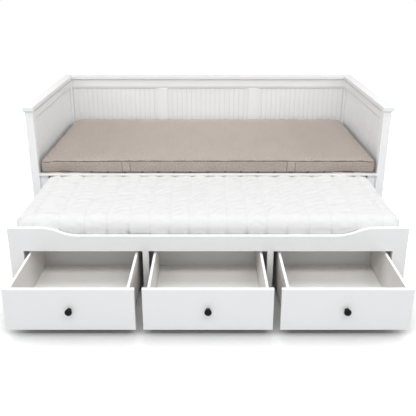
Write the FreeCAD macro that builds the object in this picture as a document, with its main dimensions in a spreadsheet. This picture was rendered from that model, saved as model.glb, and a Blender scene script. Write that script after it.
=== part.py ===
import FreeCAD
import Part
import math
import os
from types import SimpleNamespace

# Daybed with a pull-out lower bed and three storage drawers, in millimetres.
# X runs along the bed, -Y is the front, Z is up. The origin is on the floor, at the middle
# of the whole part as it stands with the lower bed and the drawers pulled out.

DIMENSIONS = (
    # Frame of the daybed
    ("clear_length", 2000, "between the left and right posts"),
    ("post_side", 45, "side of the square posts"),
    ("post_rounding", 3, "rounded edges of the posts"),
    ("bed_depth", 960, "front face of the posts to the rear face of the back"),
    ("bed_height", 849, "floor to the top of the caps"),
    ("cap_thickness", 27, "thickness of the caps"),
    ("cap_width", 62, "width of the caps"),
    ("cap_overhang", 11, "caps past the posts at the front and the rear"),
    ("cap_rounding", 5, "rounded edges of the caps"),
    ("glide_diameter", 30, "foot glides"),
    ("glide_height", 4, "foot glides"),
    ("side_rail_thickness", 32, "rails of the side frames"),
    ("top_rail_height", 69, "rails under the caps, with their moulded edge"),
    ("bottom_rail_height", 80, "lowest rails of the sides and the back"),
    ("side_rail_floor_gap", 90, "floor to the bottom rail of a side"),
    ("back_rail_drop", 110, "top of the upper slats down to the bottom rail of the back"),
    ("moulding_height", 15, "moulded edge of a rail along the panels"),
    ("moulding_depth", 6, "moulded edge of a rail along the panels"),
    ("back_thickness", 36, "rails and mullions of the back"),
    ("mullion_width", 66, "upright boards between the back panels"),
    ("mullion_spacing", 666, "between the middles of the two mullions"),
    ("panel_thickness", 12, "beadboard panels"),
    ("panel_tongue", 8, "depth of a panel in its groove"),
    ("groove_clearance", 0.3, "panel to each wall of its groove"),
    ("bead_pitch", 35, "between the grooves of the beadboard"),
    ("bead_width", 6, "width of a beadboard groove"),
    ("bead_depth", 3, "depth of a beadboard groove"),
    # Bed base of the daybed
    ("ledger_thickness", 47, "boards along the inside of the sides"),
    ("ledger_height", 103, "boards along the inside of the sides"),
    ("ledger_setback", 25, "front face of the posts to the side ledgers"),
    ("back_ledger_thickness", 25, "board along the inside of the back"),
    ("back_ledger_height", 58, "board along the inside of the back"),
    ("slide_under_gap", 3.7, "crown of the lower mattress to the steel rail over it"),
    ("front_rail_height", 11, "steel rail along the front"),
    ("front_rail_width", 22, "hollow part of the steel rail"),
    ("front_rail_setback", 3, "front face of the posts to the steel rail"),
    ("front_rail_wall", 2, "wall of the steel rail"),
    ("front_rail_flange", 25, "flange that carries the slats"),
    ("flange_thickness", 2, "flange that carries the slats"),
    ("slat_width", 70, "slats of both beds"),
    ("slat_thickness", 9, "slats of both beds"),
    ("slat_end_gap", 4, "slats to what stands beside and behind them"),
    ("slat_pitch_most", 145, "widest spacing of the slats"),
    # Upper mattress
    ("upper_mattress_side_gap", 14, "upper mattress to the posts"),
    ("upper_mattress_rear_gap", 9, "upper mattress to the back"),
    ("upper_mattress_thickness", 77, "upper mattress, up to its top seam"),
    ("upper_mattress_crown", 7, "rise of the top above the seam"),
    ("upper_mattress_setback", 8, "front face of the posts to the mattress"),
    ("mattress_corner", 28, "corner radius of the mattresses in plan"),
    ("mattress_roll", 14, "rounded lower and upper edges of the mattresses"),
    ("mattress_draw", 6, "sides drawn in between the corners"),
    ("soft_clearance", 0.3, "soft parts to what they rest on"),
    # Pull-out lower bed
    ("pull_out", 588, "lower bed pulled out of the frame, as it stands"),
    ("front_side_gap", 9, "front of the lower bed to the posts"),
    ("front_thickness", 22, "front board and stiles"),
    ("front_rounding", 3, "rounded edges of the front board"),
    ("board_end_rise", 86, "top of the lower slats to the top of the front board at its ends"),
    ("board_low_rise", 43, "top of the lower slats to the top of the front board between"),
    ("board_end_length", 157, "level end of the front board"),
    ("wave_length", 197, "curve from the level end down to the low part"),
    ("opening_drop", 41, "top of the lower slats down to the drawer openings"),
    ("end_stile_width", 70, "outer stiles of the front"),
    ("inner_stile_width", 30, "stiles between the drawers"),
    ("stile_floor_gap", 12, "floor to the stiles"),
    ("frame_board_thickness", 18, "sides, partitions and rear rail"),
    ("frame_board_step", 6, "edge of an opening back to the board behind it"),
    ("frame_board_floor_gap", 30, "floor to the sides and partitions"),
    ("lower_rear_gap", 42, "lower bed to the back when it is pushed in"),
    ("lower_base_height", 300, "floor to the top of the lower slats"),
    ("rear_rail_height", 130, "rear rail of the lower bed"),
    ("bearer_width", 22, "bearers under the ends of the lower slats"),
    ("bearer_height", 24, "bearers under the ends of the lower slats"),
    ("guide_length", 40, "guides that keep the lower bed centred and stop it"),
    ("guide_height", 55, "guides that keep the lower bed centred and stop it"),
    ("guide_rise", 5, "lower edge of a side's bottom rail to the guide"),
    ("guide_clearance", 0.3, "guide to the side's bottom rail"),
    ("lower_mattress_side_gap", 3, "lower mattress to the side ledgers it passes"),
    ("lower_mattress_rear_gap", 12, "lower mattress to the rear face of the lower bed"),
    ("lower_mattress_thickness", 118, "lower mattress, to the seams of its channels"),
    ("channel_pitch", 105, "between the sewn channels of the lower mattress"),
    ("channel_rise", 7, "crown of a channel above its seams"),
    # Casters
    ("wheel_diameter", 50, "caster wheels"),
    ("wheel_width", 20, "caster wheels"),
    ("wheel_rounding", 4, "shoulders of the caster wheels"),
    ("pin_diameter", 8, "caster pins"),
    ("pin_clearance", 0.1, "wheel bore round its pin, on the radius"),
    ("pin_head", 3, "heads of the pin outside the bracket"),
    ("bracket_thickness", 2.5, "steel of the caster brackets"),
    ("bracket_length", 44, "caster brackets, front to rear"),
    ("bracket_rise", 34, "bracket above its web, up the side board"),
    ("wheel_gap", 2, "wheel to the cheeks and the web of its bracket"),
    ("caster_inset", 90, "middle of a caster to the end of its side board"),
    # Drawers
    ("drawer_out", 319, "drawers pulled out of the lower bed, as they stand"),
    ("drawer_side_gap", 2, "drawer front to its opening"),
    ("drawer_top_gap", 12, "drawer front to the top of its opening"),
    ("drawer_floor_gap", 34, "floor to a drawer front"),
    ("drawer_front_thickness", 18, "drawer fronts"),
    ("drawer_front_rounding", 2.5, "rounded edges of the drawer fronts"),
    ("drawer_board", 12, "sides and backs of the drawers"),
    ("drawer_depth", 511, "drawer sides, front to rear"),
    ("drawer_inset", 25, "edge of an opening to the drawer side"),
    ("drawer_side_drop", 3, "top of a drawer front to the top of its sides"),
    ("drawer_side_rise", 8, "bottom of a drawer front to the bottom of its sides"),
    ("drawer_bottom_rise", 17, "bottom of a drawer front to the drawer bottom"),
    ("drawer_bottom_thickness", 6, "drawer bottoms"),
    ("drawer_bottom_tongue", 5, "drawer bottom in the grooves of the sides"),
    ("runner_end_gap", 21, "rear end of a runner to that of the drawer side pushed in"),
    ("runner_height", 30, "fixed runners"),
    ("runner_thickness", 2, "fixed runners"),
    ("runner_clearance", 0.3, "drawer sides above their runners"),
    ("knob_diameter", 33, "knobs"),
    ("knob_length", 29, "knobs, from the drawer front"),
    ("knob_base_diameter", 22, "foot of a knob"),
    ("knob_neck_diameter", 12, "neck of a knob"),
    ("knob_neck_length", 5, "neck of a knob"),
    ("knob_rim_radius", 8, "rounded rim of a knob"),
    ("cutter_overrun", 1, "how far a cutting solid runs past what it cuts"),
)


class Size:
    """A length with its value and the formula that gives it from the sheet."""

    def __init__(self, value, formula):
        self.value = value
        self.formula = formula

    def __add__(self, other):
        return Size(self.value + other.value, f"({self.formula} + {other.formula})")

    def __sub__(self, other):
        return Size(self.value - other.value, f"({self.formula} - {other.formula})")

    def __mul__(self, factor):
        return Size(self.value * factor, f"({self.formula} * {factor})")

    def __truediv__(self, divisor):
        return Size(self.value / divisor, f"({self.formula} / {divisor})")

    def __neg__(self):
        return Size(-self.value, f"(0 - {self.formula})")


def filled_sheet(document):
    """Writes the driving dimensions to the spreadsheet and returns them as sizes."""
    sheet = document.addObject("Spreadsheet::Sheet", "Sizes")
    for row, (alias, millimetres, meaning) in enumerate(DIMENSIONS, start=1):
        sheet.set(f"A{row}", meaning)
        sheet.set(f"B{row}", str(millimetres))
        sheet.setAlias(f"B{row}", alias)
    document.recompute()
    names = [row[0] for row in DIMENSIONS]
    return SimpleNamespace(**{name: Size(float(sheet.get(name)), f"Sizes.{name}") for name in names})


doc = FreeCAD.newDocument("Daybed")
D = filled_sheet(doc)
ZERO = Size(0.0, "0")
NODES = {}


def keep(label, feature):
    """Records a finished sub-part under the name of its file."""
    feature.Label = label
    NODES[label] = feature
    return feature


def put(feature, x, y, z):
    """Binds the place of a feature to the sheet."""
    for axis, size in zip("xyz", (x, y, z)):
        feature.setExpression(f"Placement.Base.{axis}", size.formula)
    return feature


def board(name, corner, length, width, height):
    """A plain board with its lowest corner at the given place."""
    box = doc.addObject("Part::Box", name)
    box.setExpression("Length", length.formula)
    box.setExpression("Width", width.formula)
    box.setExpression("Height", height.formula)
    return put(box, *corner)


def group(name, members):
    """Separate solids of one kind that share a node."""
    compound = doc.addObject("Part::Compound", name)
    compound.Links = members
    return compound


def vector(point):
    """A sketch point from two sizes."""
    return FreeCAD.Vector(point[0].value, point[1].value, 0)


def straight_outline(points):
    """Closed outline of straight edges through the points."""
    corners = [vector(point) for point in points]
    return [Part.LineSegment(a, b) for a, b in zip(corners, corners[1:] + corners[:1])]


def rectangle(x0, y0, x1, y1):
    """Closed rectangular outline between two opposite corners."""
    return straight_outline([(x0, y0), (x1, y0), (x1, y1), (x0, y1)])


def sketch_on(body, role, edges):
    """A sketch with the given edges on one of the body's own planes."""
    sketch = body.newObject("Sketcher::SketchObject", body.Name + "_outline")
    plane = next(item for item in body.Origin.OriginFeatures if item.Role == role)
    sketch.AttachmentSupport = [(plane, "")]
    sketch.MapMode = "FlatFace"
    sketch.addGeometry(edges)
    return sketch


def extruded(name, role, edges, length, place):
    """A body that carries one outline along +X, +Y or +Z from its place."""
    body = doc.addObject("PartDesign::Body", name)
    pad = body.newObject("PartDesign::Pad", name + "_pad")
    pad.Profile = sketch_on(body, role, edges)
    pad.Reversed = role == "XZ_Plane"
    pad.setExpression("Length", length.formula)
    return put(body, *place)


def turned(name, role, axis, edges, place):
    """A body turned about the horizontal or the vertical axis of its sketch."""
    body = doc.addObject("PartDesign::Body", name)
    sketch = sketch_on(body, role, edges)
    revolution = body.newObject("PartDesign::Revolution", name + "_turn")
    revolution.Profile = sketch
    revolution.ReferenceAxis = (sketch, [axis])
    revolution.Angle = 360
    return put(body, *place)


def rounded(body, radius, chosen):
    """Rounds those straight edges of a body for which chosen(direction, middle) holds."""
    doc.recompute()
    base = body.Tip
    names = []
    for number, edge in enumerate(base.Shape.Edges, start=1):
        direction = edge.tangentAt(edge.FirstParameter)
        if chosen(direction, edge.CenterOfMass):
            names.append(f"Edge{number}")
    fillet = body.newObject("PartDesign::Fillet", body.Name + "_rounding")
    fillet.Base = (base, names)
    fillet.setExpression("Radius", radius.formula)
    return body


# Places that several pieces share
lower_crown = D.soft_clearance + D.lower_mattress_thickness + D.channel_rise
base_height = D.lower_base_height + lower_crown + D.slide_under_gap + D.front_rail_height
half_clear = D.clear_length / 2
frame_outer = half_clear + D.post_side
post_front = (D.pull_out + D.drawer_out + D.knob_length - D.bed_depth - D.cap_overhang) / 2
back_rear = post_front + D.bed_depth
back_front = back_rear - D.back_thickness
front_posts_rear = post_front + D.post_side
rear_posts_front = back_rear - D.post_side
cap_underside = D.bed_height - D.cap_thickness
panel_top_edge = cap_underside - D.top_rail_height
half_groove = D.panel_thickness / 2 + D.groove_clearance
groove_depth = D.panel_tongue + D.groove_clearance
back_rail_low = base_height - D.back_rail_drop - D.bottom_rail_height


# Side frames and back

def post(name, x, y):
    """A square post from its glide up to the cap."""
    outline = rectangle(ZERO, ZERO, D.post_side, D.post_side)
    body = extruded(name, "XY_Plane", outline, cap_underside - D.glide_height, (x, y, D.glide_height))
    keep(name, rounded(body, D.post_rounding, lambda direction, middle: abs(direction.z) > 0.9))


def rail_outline(thickness, height, upwards):
    """Section of a panelled rail: moulded and grooved along the edge that holds the panels.

    The section is centred on its thickness. The panel edge is at the bottom, or at the top
    where upwards is set.
    """
    half = thickness / 2
    inner = half - D.moulding_depth
    points = [
        (-half, height),
        (-half, D.moulding_height),
        (-inner, ZERO),
        (-half_groove, ZERO),
        (-half_groove, groove_depth),
        (half_groove, groove_depth),
        (half_groove, ZERO),
        (inner, ZERO),
        (half, D.moulding_height),
        (half, height),
    ]
    if upwards:
        points = [(across, height - up) for across, up in points]
    return straight_outline(points)


def panel_outline(width):
    """Plan of a beadboard panel: V grooves at one pitch on both faces, centred on its width."""
    half = D.panel_thickness / 2
    count = max(1, int((width.value - D.bead_pitch.value) // D.bead_pitch.value))
    first = (width - D.bead_pitch * (count - 1)) / 2
    near = [(ZERO, -half)]
    far = [(ZERO, half)]
    for number in range(count):
        middle = first + D.bead_pitch * number
        for face, side in ((near, -half), (far, half)):
            floor = side + D.bead_depth if face is near else side - D.bead_depth
            face.append((middle - D.bead_width / 2, side))
            face.append((middle, floor))
            face.append((middle + D.bead_width / 2, side))
    near.append((width, -half))
    far.append((width, half))
    return near + far[::-1]


def side_frame(side, sign):
    """Posts, rails, panel and cap of the left (-1) or right (+1) side."""
    inner = half_clear * sign
    low_x = inner if sign > 0 else inner - D.post_side
    middle = low_x + D.post_side / 2
    post(f"{side}_front_post", low_x, post_front)
    post(f"{side}_rear_post", low_x, rear_posts_front)

    length = rear_posts_front - front_posts_rear
    top = rail_outline(D.side_rail_thickness, D.top_rail_height, False)
    top_rail = extruded(f"{side}_top_rail", "XZ_Plane", top, length, (middle, front_posts_rear, panel_top_edge))
    keep(f"{side}_top_rail", top_rail)
    bottom = rail_outline(D.side_rail_thickness, D.bottom_rail_height, True)
    place = (middle, front_posts_rear, D.side_rail_floor_gap)
    keep(f"{side}_bottom_rail", extruded(f"{side}_bottom_rail", "XZ_Plane", bottom, length, place))

    panel_low = D.side_rail_floor_gap + D.bottom_rail_height - D.panel_tongue
    plan = straight_outline([(across, along) for along, across in panel_outline(length)])
    height = panel_top_edge + D.panel_tongue - panel_low
    place = (middle, front_posts_rear, panel_low)
    keep(f"{side}_side_panel", extruded(f"{side}_side_panel", "XY_Plane", plan, height, place))
    cap(f"{side}_cap", middle, sign)


def cap(name, middle, sign):
    """A side cap, mitred at the rear and rounded along its edges and its front end."""
    half = D.cap_width / 2
    front = post_front - D.cap_overhang
    rear = back_rear + D.cap_overhang
    outline = straight_outline([
        (half * sign, front),
        (half * sign, rear),
        (-half * sign, rear - D.cap_width),
        (-half * sign, front),
    ])
    body = extruded(name, "XY_Plane", outline, D.cap_thickness, (middle, ZERO, cap_underside))
    mitre = (rear - D.cap_width / 2).value

    def exposed(direction, centre):
        on_mitre = abs(centre.y - mitre) < D.cap_overhang.value
        return not on_mitre and abs(direction.z) < 0.9 and abs(direction.x * direction.y) < 0.1

    keep(name, rounded(body, D.cap_rounding, exposed))


def back_cap():
    """The cap of the back, mitred to both side caps."""
    rear = back_rear + D.cap_overhang
    outer = half_clear + (D.post_side + D.cap_width) / 2
    inner = outer - D.cap_width
    front = rear - D.cap_width
    outline = straight_outline([(-outer, rear), (outer, rear), (inner, front), (-inner, front)])
    body = extruded("back_cap", "XY_Plane", outline, D.cap_thickness, (ZERO, ZERO, cap_underside))

    def lengthways(direction, centre):
        return abs(direction.x) > 0.9

    keep("back_cap", rounded(body, D.cap_rounding, lengthways))


def back():
    """Rails, mullions, panels and cap between the rear posts."""
    middle = back_rear - D.back_thickness / 2
    top = rail_outline(D.back_thickness, D.top_rail_height, False)
    place = (-half_clear, middle, panel_top_edge)
    keep("back_top_rail", extruded("back_top_rail", "YZ_Plane", top, D.clear_length, place))
    bottom = rail_outline(D.back_thickness, D.bottom_rail_height, True)
    place = (-half_clear, middle, back_rail_low)
    keep("back_bottom_rail", extruded("back_bottom_rail", "YZ_Plane", bottom, D.clear_length, place))

    opening_low = back_rail_low + D.bottom_rail_height
    half_mullion = D.mullion_width / 2
    half_back = D.back_thickness / 2
    plan = straight_outline([
        (-half_mullion, -half_back),
        (half_mullion, -half_back),
        (half_mullion, -half_groove),
        (half_mullion - groove_depth, -half_groove),
        (half_mullion - groove_depth, half_groove),
        (half_mullion, half_groove),
        (half_mullion, half_back),
        (-half_mullion, half_back),
        (-half_mullion, half_groove),
        (groove_depth - half_mullion, half_groove),
        (groove_depth - half_mullion, -half_groove),
        (-half_mullion, -half_groove),
    ])
    mullions = []
    for side, sign in (("left", -1), ("right", 1)):
        place = (D.mullion_spacing / 2 * sign, middle, opening_low)
        height = panel_top_edge - opening_low
        mullions.append(extruded(f"{side}_mullion", "XY_Plane", plan, height, place))
    keep("back_mullions", group("back_mullions", mullions))

    mullion_inner = (D.mullion_spacing - D.mullion_width) / 2 + D.panel_tongue
    mullion_outer = (D.mullion_spacing + D.mullion_width) / 2 - D.panel_tongue
    spans = (
        ("back_left_panel", -half_clear, -mullion_outer),
        ("back_middle_panel", -mullion_inner, mullion_inner),
        ("back_right_panel", mullion_outer, half_clear),
    )
    panel_low = opening_low - D.panel_tongue
    height = panel_top_edge + D.panel_tongue - panel_low
    for name, start, end in spans:
        plan = straight_outline(panel_outline(end - start))
        keep(name, extruded(name, "XY_Plane", plan, height, (start, middle, panel_low)))
    back_cap()


def foot_glides():
    """A round glide under each post."""
    radius = D.glide_diameter / 2
    glides = []
    for x in (-half_clear - D.post_side / 2, half_clear + D.post_side / 2):
        for y in (post_front + D.post_side / 2, back_rear - D.post_side / 2):
            outline = rectangle(ZERO, ZERO, radius, D.glide_height)
            glides.append(turned(f"glide_{len(glides)}", "XZ_Plane", "V_Axis", outline, (x, y, ZERO)))
    keep("foot_glides", group("foot_glides", glides))


# Bed base of the daybed

ledger_top = base_height - D.front_rail_height
ledger_inner = half_clear - D.ledger_thickness
rail_front = post_front + D.front_rail_setback


def slat_row(name, half_length, y, depth, top):
    """Slats that run from front to rear, spread evenly over the length of a bed."""
    reach = half_length - D.slat_end_gap
    span = reach * 2 - D.slat_width
    count = math.ceil(span.value / D.slat_pitch_most.value) + 1
    slats = []
    for number in range(count):
        x = span / (count - 1) * number - reach
        corner = (x, y, top - D.slat_thickness)
        slats.append(board(f"{name}_{number}", corner, D.slat_width, depth, D.slat_thickness))
    keep(name, group(name, slats))


def bed_base():
    """Ledgers, front rail and slats that carry the upper mattress."""
    depth = back_front - D.ledger_setback - post_front
    place_z = ledger_top - D.ledger_height
    y = post_front + D.ledger_setback
    ledgers = []
    for side, x in (("left", -half_clear), ("right", ledger_inner)):
        ledgers.append(board(f"{side}_ledger", (x, y, place_z), D.ledger_thickness, depth, D.ledger_height))
    keep("side_ledgers", group("side_ledgers", ledgers))

    slats_low = base_height - D.slat_thickness
    corner = (-ledger_inner, back_front - D.back_ledger_thickness, slats_low - D.back_ledger_height)
    size = (ledger_inner * 2, D.back_ledger_thickness, D.back_ledger_height)
    keep("back_ledger", board("back_ledger", corner, *size))

    rear = D.front_rail_width + D.front_rail_flange
    outer = straight_outline([
        (ZERO, ZERO),
        (rear, ZERO),
        (rear, D.flange_thickness),
        (D.front_rail_width, D.flange_thickness),
        (D.front_rail_width, D.front_rail_height),
        (ZERO, D.front_rail_height),
    ])
    wall = D.front_rail_wall
    hollow = rectangle(wall, wall, D.front_rail_width - wall, D.front_rail_height - wall)
    place = (-half_clear, rail_front, ledger_top)
    keep("front_rail", extruded("front_rail", "YZ_Plane", outer + hollow, D.clear_length, place))

    slats_front = rail_front + D.front_rail_width + D.slat_end_gap / 2
    slats_rear = back_front - D.slat_end_gap
    slat_row("upper_slats", ledger_inner, slats_front, slats_rear - slats_front, base_height)


# Mattresses

def soft_outline(half_length, half_depth, inset, y, z):
    """Plan of a mattress at one height: four corner arcs and four drawn-in sides."""
    a = half_length.value - inset
    b = half_depth.value - inset
    radius = D.mattress_corner.value
    draw = D.mattress_draw.value
    diagonal = radius * (1 - math.sqrt(0.5))
    quarter = [
        ((a - radius, -b), (a - diagonal, diagonal - b), (a, radius - b)),
        ((a, radius - b), (a - draw, 0), (a, b - radius)),
        ((a, b - radius), (a - diagonal, b - diagonal), (a - radius, b)),
        ((a - radius, b), (0, b - draw), (radius - a, b)),
    ]
    turned_round = [tuple((-u, -v) for u, v in arc) for arc in quarter]
    middle = y.value + half_depth.value
    edges = []
    for arc in quarter + turned_round:
        points = [FreeCAD.Vector(u, middle + v, z.value) for u, v in arc]
        edges.append(Part.Arc(*points).toShape())
    return Part.Wire(edges)


def upper_mattress():
    """Covered mattress: rolled edges, drawn-in sides and a low crown above the top seam."""
    low = base_height + D.soft_clearance
    seam = low + D.upper_mattress_thickness
    roll = D.mattress_roll
    crown = D.upper_mattress_crown
    shoulder_rise_share = 0.7
    inset_shares = {"underside": 0.5, "side": 0.1, "seam": 0.15, "shoulder": 2.5, "crown": 11.0}
    levels = (
        (low, "underside"),
        (low + roll, "side"),
        (seam - roll, "side"),
        (seam, "seam"),
        (seam + crown * shoulder_rise_share, "shoulder"),
        (seam + crown, "crown"),
    )
    y = post_front + D.upper_mattress_setback
    half_length = half_clear - D.upper_mattress_side_gap
    half_depth = (back_front - D.upper_mattress_rear_gap - y) / 2
    wires = [
        soft_outline(half_length, half_depth, roll.value * inset_shares[part], y, z)
        for z, part in levels
    ]
    mattress = doc.addObject("Part::Feature", "upper_mattress")
    mattress.Shape = Part.makeLoft(wires, True, True)
    mattress.Placement = FreeCAD.Placement()
    keep("upper_mattress", mattress)


end_bulge_share = 0.08


def channel_section(half_length, y, low, seam, rise, count):
    """Section across the channels of the lower mattress at one depth."""
    pitch = 2 * half_length / count
    bulge = (seam - low) * end_bulge_share
    edges = [Part.LineSegment(FreeCAD.Vector(-half_length, y, low), FreeCAD.Vector(half_length, y, low))]
    right = (FreeCAD.Vector(*p) for p in (
        (half_length, y, low), (half_length + bulge, y, (low + seam) / 2), (half_length, y, seam)))
    edges.append(Part.Arc(*right))
    for number in range(count):
        x = half_length - pitch * number
        arc = ((x, y, seam), (x - pitch / 2, y, seam + rise), (x - pitch, y, seam))
        edges.append(Part.Arc(*(FreeCAD.Vector(*p) for p in arc)))
    left = (FreeCAD.Vector(*p) for p in (
        (-half_length, y, seam), (-half_length - bulge, y, (low + seam) / 2), (-half_length, y, low)))
    edges.append(Part.Arc(*left))
    return Part.Wire([edge.toShape() for edge in edges])


def lower_mattress(rear_of_front, rear_of_bed):
    """Quilted mattress with channels sewn from front to rear and full, rounded ends."""
    low = (D.lower_base_height + D.soft_clearance).value
    thickness = D.lower_mattress_thickness.value
    roll = D.mattress_roll.value
    start = (rear_of_front + D.soft_clearance).value
    end = (rear_of_bed - D.lower_mattress_rear_gap).value
    full_half_length = (ledger_inner - D.lower_mattress_side_gap).value
    half_length = full_half_length - thickness * end_bulge_share
    count = round(2 * full_half_length / D.channel_pitch.value)
    end_shares = ((0.0, 2.6), (0.45, 1.35), (1.3, 0.5), (2.5, 0.1), (4.2, 0.0))
    stations = [(start + along * roll, inward * roll) for along, inward in end_shares]
    stations += [(end - along * roll, inward * roll) for along, inward in end_shares[::-1]]
    wires = []
    for y, inward in stations:
        rise = D.channel_rise.value
        size = (low + inward, low + thickness - inward, rise)
        wires.append(channel_section(half_length - inward, y, *size, count))
    mattress = doc.addObject("Part::Feature", "lower_mattress")
    mattress.Shape = Part.makeLoft(wires, True, True)
    mattress.Placement = FreeCAD.Placement()
    keep("lower_mattress", mattress)


# Pull-out lower bed

front_face = post_front - D.pull_out
front_rear_face = front_face + D.front_thickness
half_front = half_clear - D.front_side_gap
openings_span = (half_front - D.end_stile_width) * 2
opening_width = (openings_span - D.inner_stile_width * 2) / 3
opening_pitch = opening_width + D.inner_stile_width
side_board_inner = half_front - D.end_stile_width + D.frame_board_step
lower_depth = D.bed_depth - D.back_thickness - D.lower_rear_gap - D.front_thickness
lower_rear = front_rear_face + lower_depth
opening_height = D.lower_base_height - D.opening_drop
partition_width = D.inner_stile_width - D.frame_board_step * 2
slat_underside = D.lower_base_height - D.slat_thickness


def wave_board():
    """Front board with level ends and a shallow S curve down to its long low part."""
    high = D.opening_drop + D.board_end_rise
    low = D.opening_drop + D.board_low_rise
    curve_start = half_front - D.board_end_length
    curve_end = curve_start - D.wave_length
    middle = (curve_start + curve_end) / 2
    drop = high.value - low.value
    radius = (D.wave_length.value ** 2 + drop ** 2) / (4 * drop)
    half_turn = math.asin(D.wave_length.value / 2 / radius) / 2
    step_x = radius * math.sin(half_turn)
    step_z = radius * (1 - math.cos(half_turn))
    edges = []

    def line(start, end):
        edges.append(Part.LineSegment(FreeCAD.Vector(*start, 0), FreeCAD.Vector(*end, 0)))

    def arc(start, through, end):
        corners = (FreeCAD.Vector(*point, 0) for point in (start, through, end))
        edges.append(Part.ArcOfCircle(*corners))

    outer = half_front.value
    start, end, centre = curve_start.value, curve_end.value, middle.value
    top, bottom, turn = high.value, low.value, (high.value + low.value) / 2
    line((-outer, 0), (outer, 0))
    line((outer, 0), (outer, top))
    line((outer, top), (start, top))
    arc((start, top), (start - step_x, top - step_z), (centre, turn))
    arc((centre, turn), (end + step_x, bottom + step_z), (end, bottom))
    line((end, bottom), (-end, bottom))
    arc((-end, bottom), (-end - step_x, bottom + step_z), (-centre, turn))
    arc((-centre, turn), (step_x - start, top - step_z), (-start, top))
    line((-start, top), (-outer, top))
    line((-outer, top), (-outer, 0))
    place = (ZERO, front_face, opening_height)
    body = extruded("wave_board", "XZ_Plane", edges, D.front_thickness, place)

    def upper_edges(direction, centre):
        lengthways = abs(direction.y) < 0.1 and centre.z > bottom / 2
        return lengthways

    keep("wave_board", rounded(body, D.front_rounding, upper_edges))


def front_stiles():
    """Two wide end stiles and two narrow ones between the drawers."""
    height = opening_height - D.stile_floor_gap
    wide = (D.end_stile_width, D.front_thickness, height)
    left = (-half_front, front_face, D.stile_floor_gap)
    right = (half_front - D.end_stile_width, front_face, D.stile_floor_gap)
    keep("left_end_stile", board("left_end_stile", left, *wide))
    keep("right_end_stile", board("right_end_stile", right, *wide))
    narrow = (D.inner_stile_width, D.front_thickness, height)
    stiles = []
    for side, sign in (("left", -1), ("right", 1)):
        x = opening_pitch / 2 * sign - D.inner_stile_width / 2
        corner = (x, front_face, D.stile_floor_gap)
        stiles.append(board(f"{side}_inner_stile", corner, *narrow))
    keep("inner_stiles", group("inner_stiles", stiles))


def lower_carcase():
    """Sides, partitions, rear rail, slat bearers and slats of the lower bed."""
    thickness = D.frame_board_thickness
    low = D.frame_board_floor_gap
    side_size = (thickness, lower_depth, D.lower_base_height - low)
    left = (-side_board_inner - thickness, front_rear_face, low)
    right = (side_board_inner, front_rear_face, low)
    keep("left_side_board", board("left_side_board", left, *side_size))
    keep("right_side_board", board("right_side_board", right, *side_size))

    rear_inner = lower_rear - thickness
    part_size = (partition_width, rear_inner - front_rear_face, slat_underside - D.bearer_height - low)
    for side, sign in (("left", -1), ("right", 1)):
        x = opening_pitch / 2 * sign - partition_width / 2
        name = f"{side}_partition"
        keep(name, board(name, (x, front_rear_face, low), *part_size))

    corner = (-side_board_inner, rear_inner, slat_underside - D.rear_rail_height)
    size = (side_board_inner * 2, thickness, D.rear_rail_height)
    keep("rear_rail", board("rear_rail", corner, *size))

    bearers = []
    for place, y in (("front", front_rear_face), ("rear", rear_inner - D.bearer_width)):
        corner = (-side_board_inner, y, slat_underside - D.bearer_height)
        size = (side_board_inner * 2, D.bearer_width, D.bearer_height)
        bearers.append(board(f"{place}_bearer", corner, *size))
    keep("slat_bearers", group("slat_bearers", bearers))

    depth = lower_depth - D.slat_end_gap
    y = front_rear_face + D.slat_end_gap / 2
    slat_row("lower_slats", side_board_inner, y, depth, D.lower_base_height)


def stop_guides():
    """Blocks at the rear of both side boards that run along the sides' bottom rails.

    They keep the lower bed centred, and meet the front posts when it is pulled right out.
    """
    board_face = side_board_inner + D.frame_board_thickness
    rail_face = half_clear + (D.post_side - D.side_rail_thickness) / 2
    reach = rail_face - D.guide_clearance - board_face
    y = lower_rear - D.guide_length
    z = D.side_rail_floor_gap + D.guide_rise
    guides = []
    for side, x in (("left", -board_face - reach), ("right", board_face)):
        guides.append(board(f"{side}_guide", (x, y, z), reach, D.guide_length, D.guide_height))
    keep("stop_guides", group("stop_guides", guides))


# Casters

def casters():
    """Bracket, pin and wheel at each end of both side boards."""
    steel = D.bracket_thickness
    radius = D.wheel_diameter / 2
    pin_radius = D.pin_diameter / 2
    inside = D.wheel_width + D.wheel_gap * 2
    outside = side_board_inner + D.frame_board_thickness
    web_low = D.wheel_diameter + D.wheel_gap
    low = radius - D.bracket_length / 4
    brackets = []
    pins = []
    for side, sign in (("left", -1), ("right", 1)):
        for place, y in (("front", front_rear_face + D.caster_inset), ("rear", lower_rear - D.caster_inset)):
            name = f"{side}_{place}"
            outline = straight_outline([
                (ZERO, low),
                (steel * sign, low),
                (steel * sign, web_low),
                ((steel + inside) * sign, web_low),
                ((steel + inside) * sign, low),
                ((steel * 2 + inside) * sign, low),
                ((steel * 2 + inside) * sign, web_low + steel),
                (steel * sign, web_low + steel),
                (steel * sign, web_low + D.bracket_rise),
                (ZERO, web_low + D.bracket_rise),
            ])
            face = outside * sign
            corner = (face, y - D.bracket_length / 2, ZERO)
            blank = extruded(f"{name}_blank", "XZ_Plane", outline, D.bracket_length, corner)

            reach = steel * 2 + inside
            start = face if sign > 0 else face - reach - D.pin_head
            length = reach + D.pin_head
            drill = turned(
                f"{name}_drill", "XZ_Plane", "H_Axis",
                rectangle(-D.cutter_overrun, ZERO, length + D.cutter_overrun, pin_radius),
                (start, y, radius))
            bracket = doc.addObject("Part::Cut", f"{name}_bracket")
            bracket.Base = blank
            bracket.Tool = drill
            brackets.append(bracket)

            pins.append(caster_pin(name, sign, start, y, radius, length))
            wheel(name, face + (steel + D.wheel_gap) * sign, sign, y, radius)
    keep("caster_brackets", group("caster_brackets", brackets))
    keep("caster_pins", group("caster_pins", pins))


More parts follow.
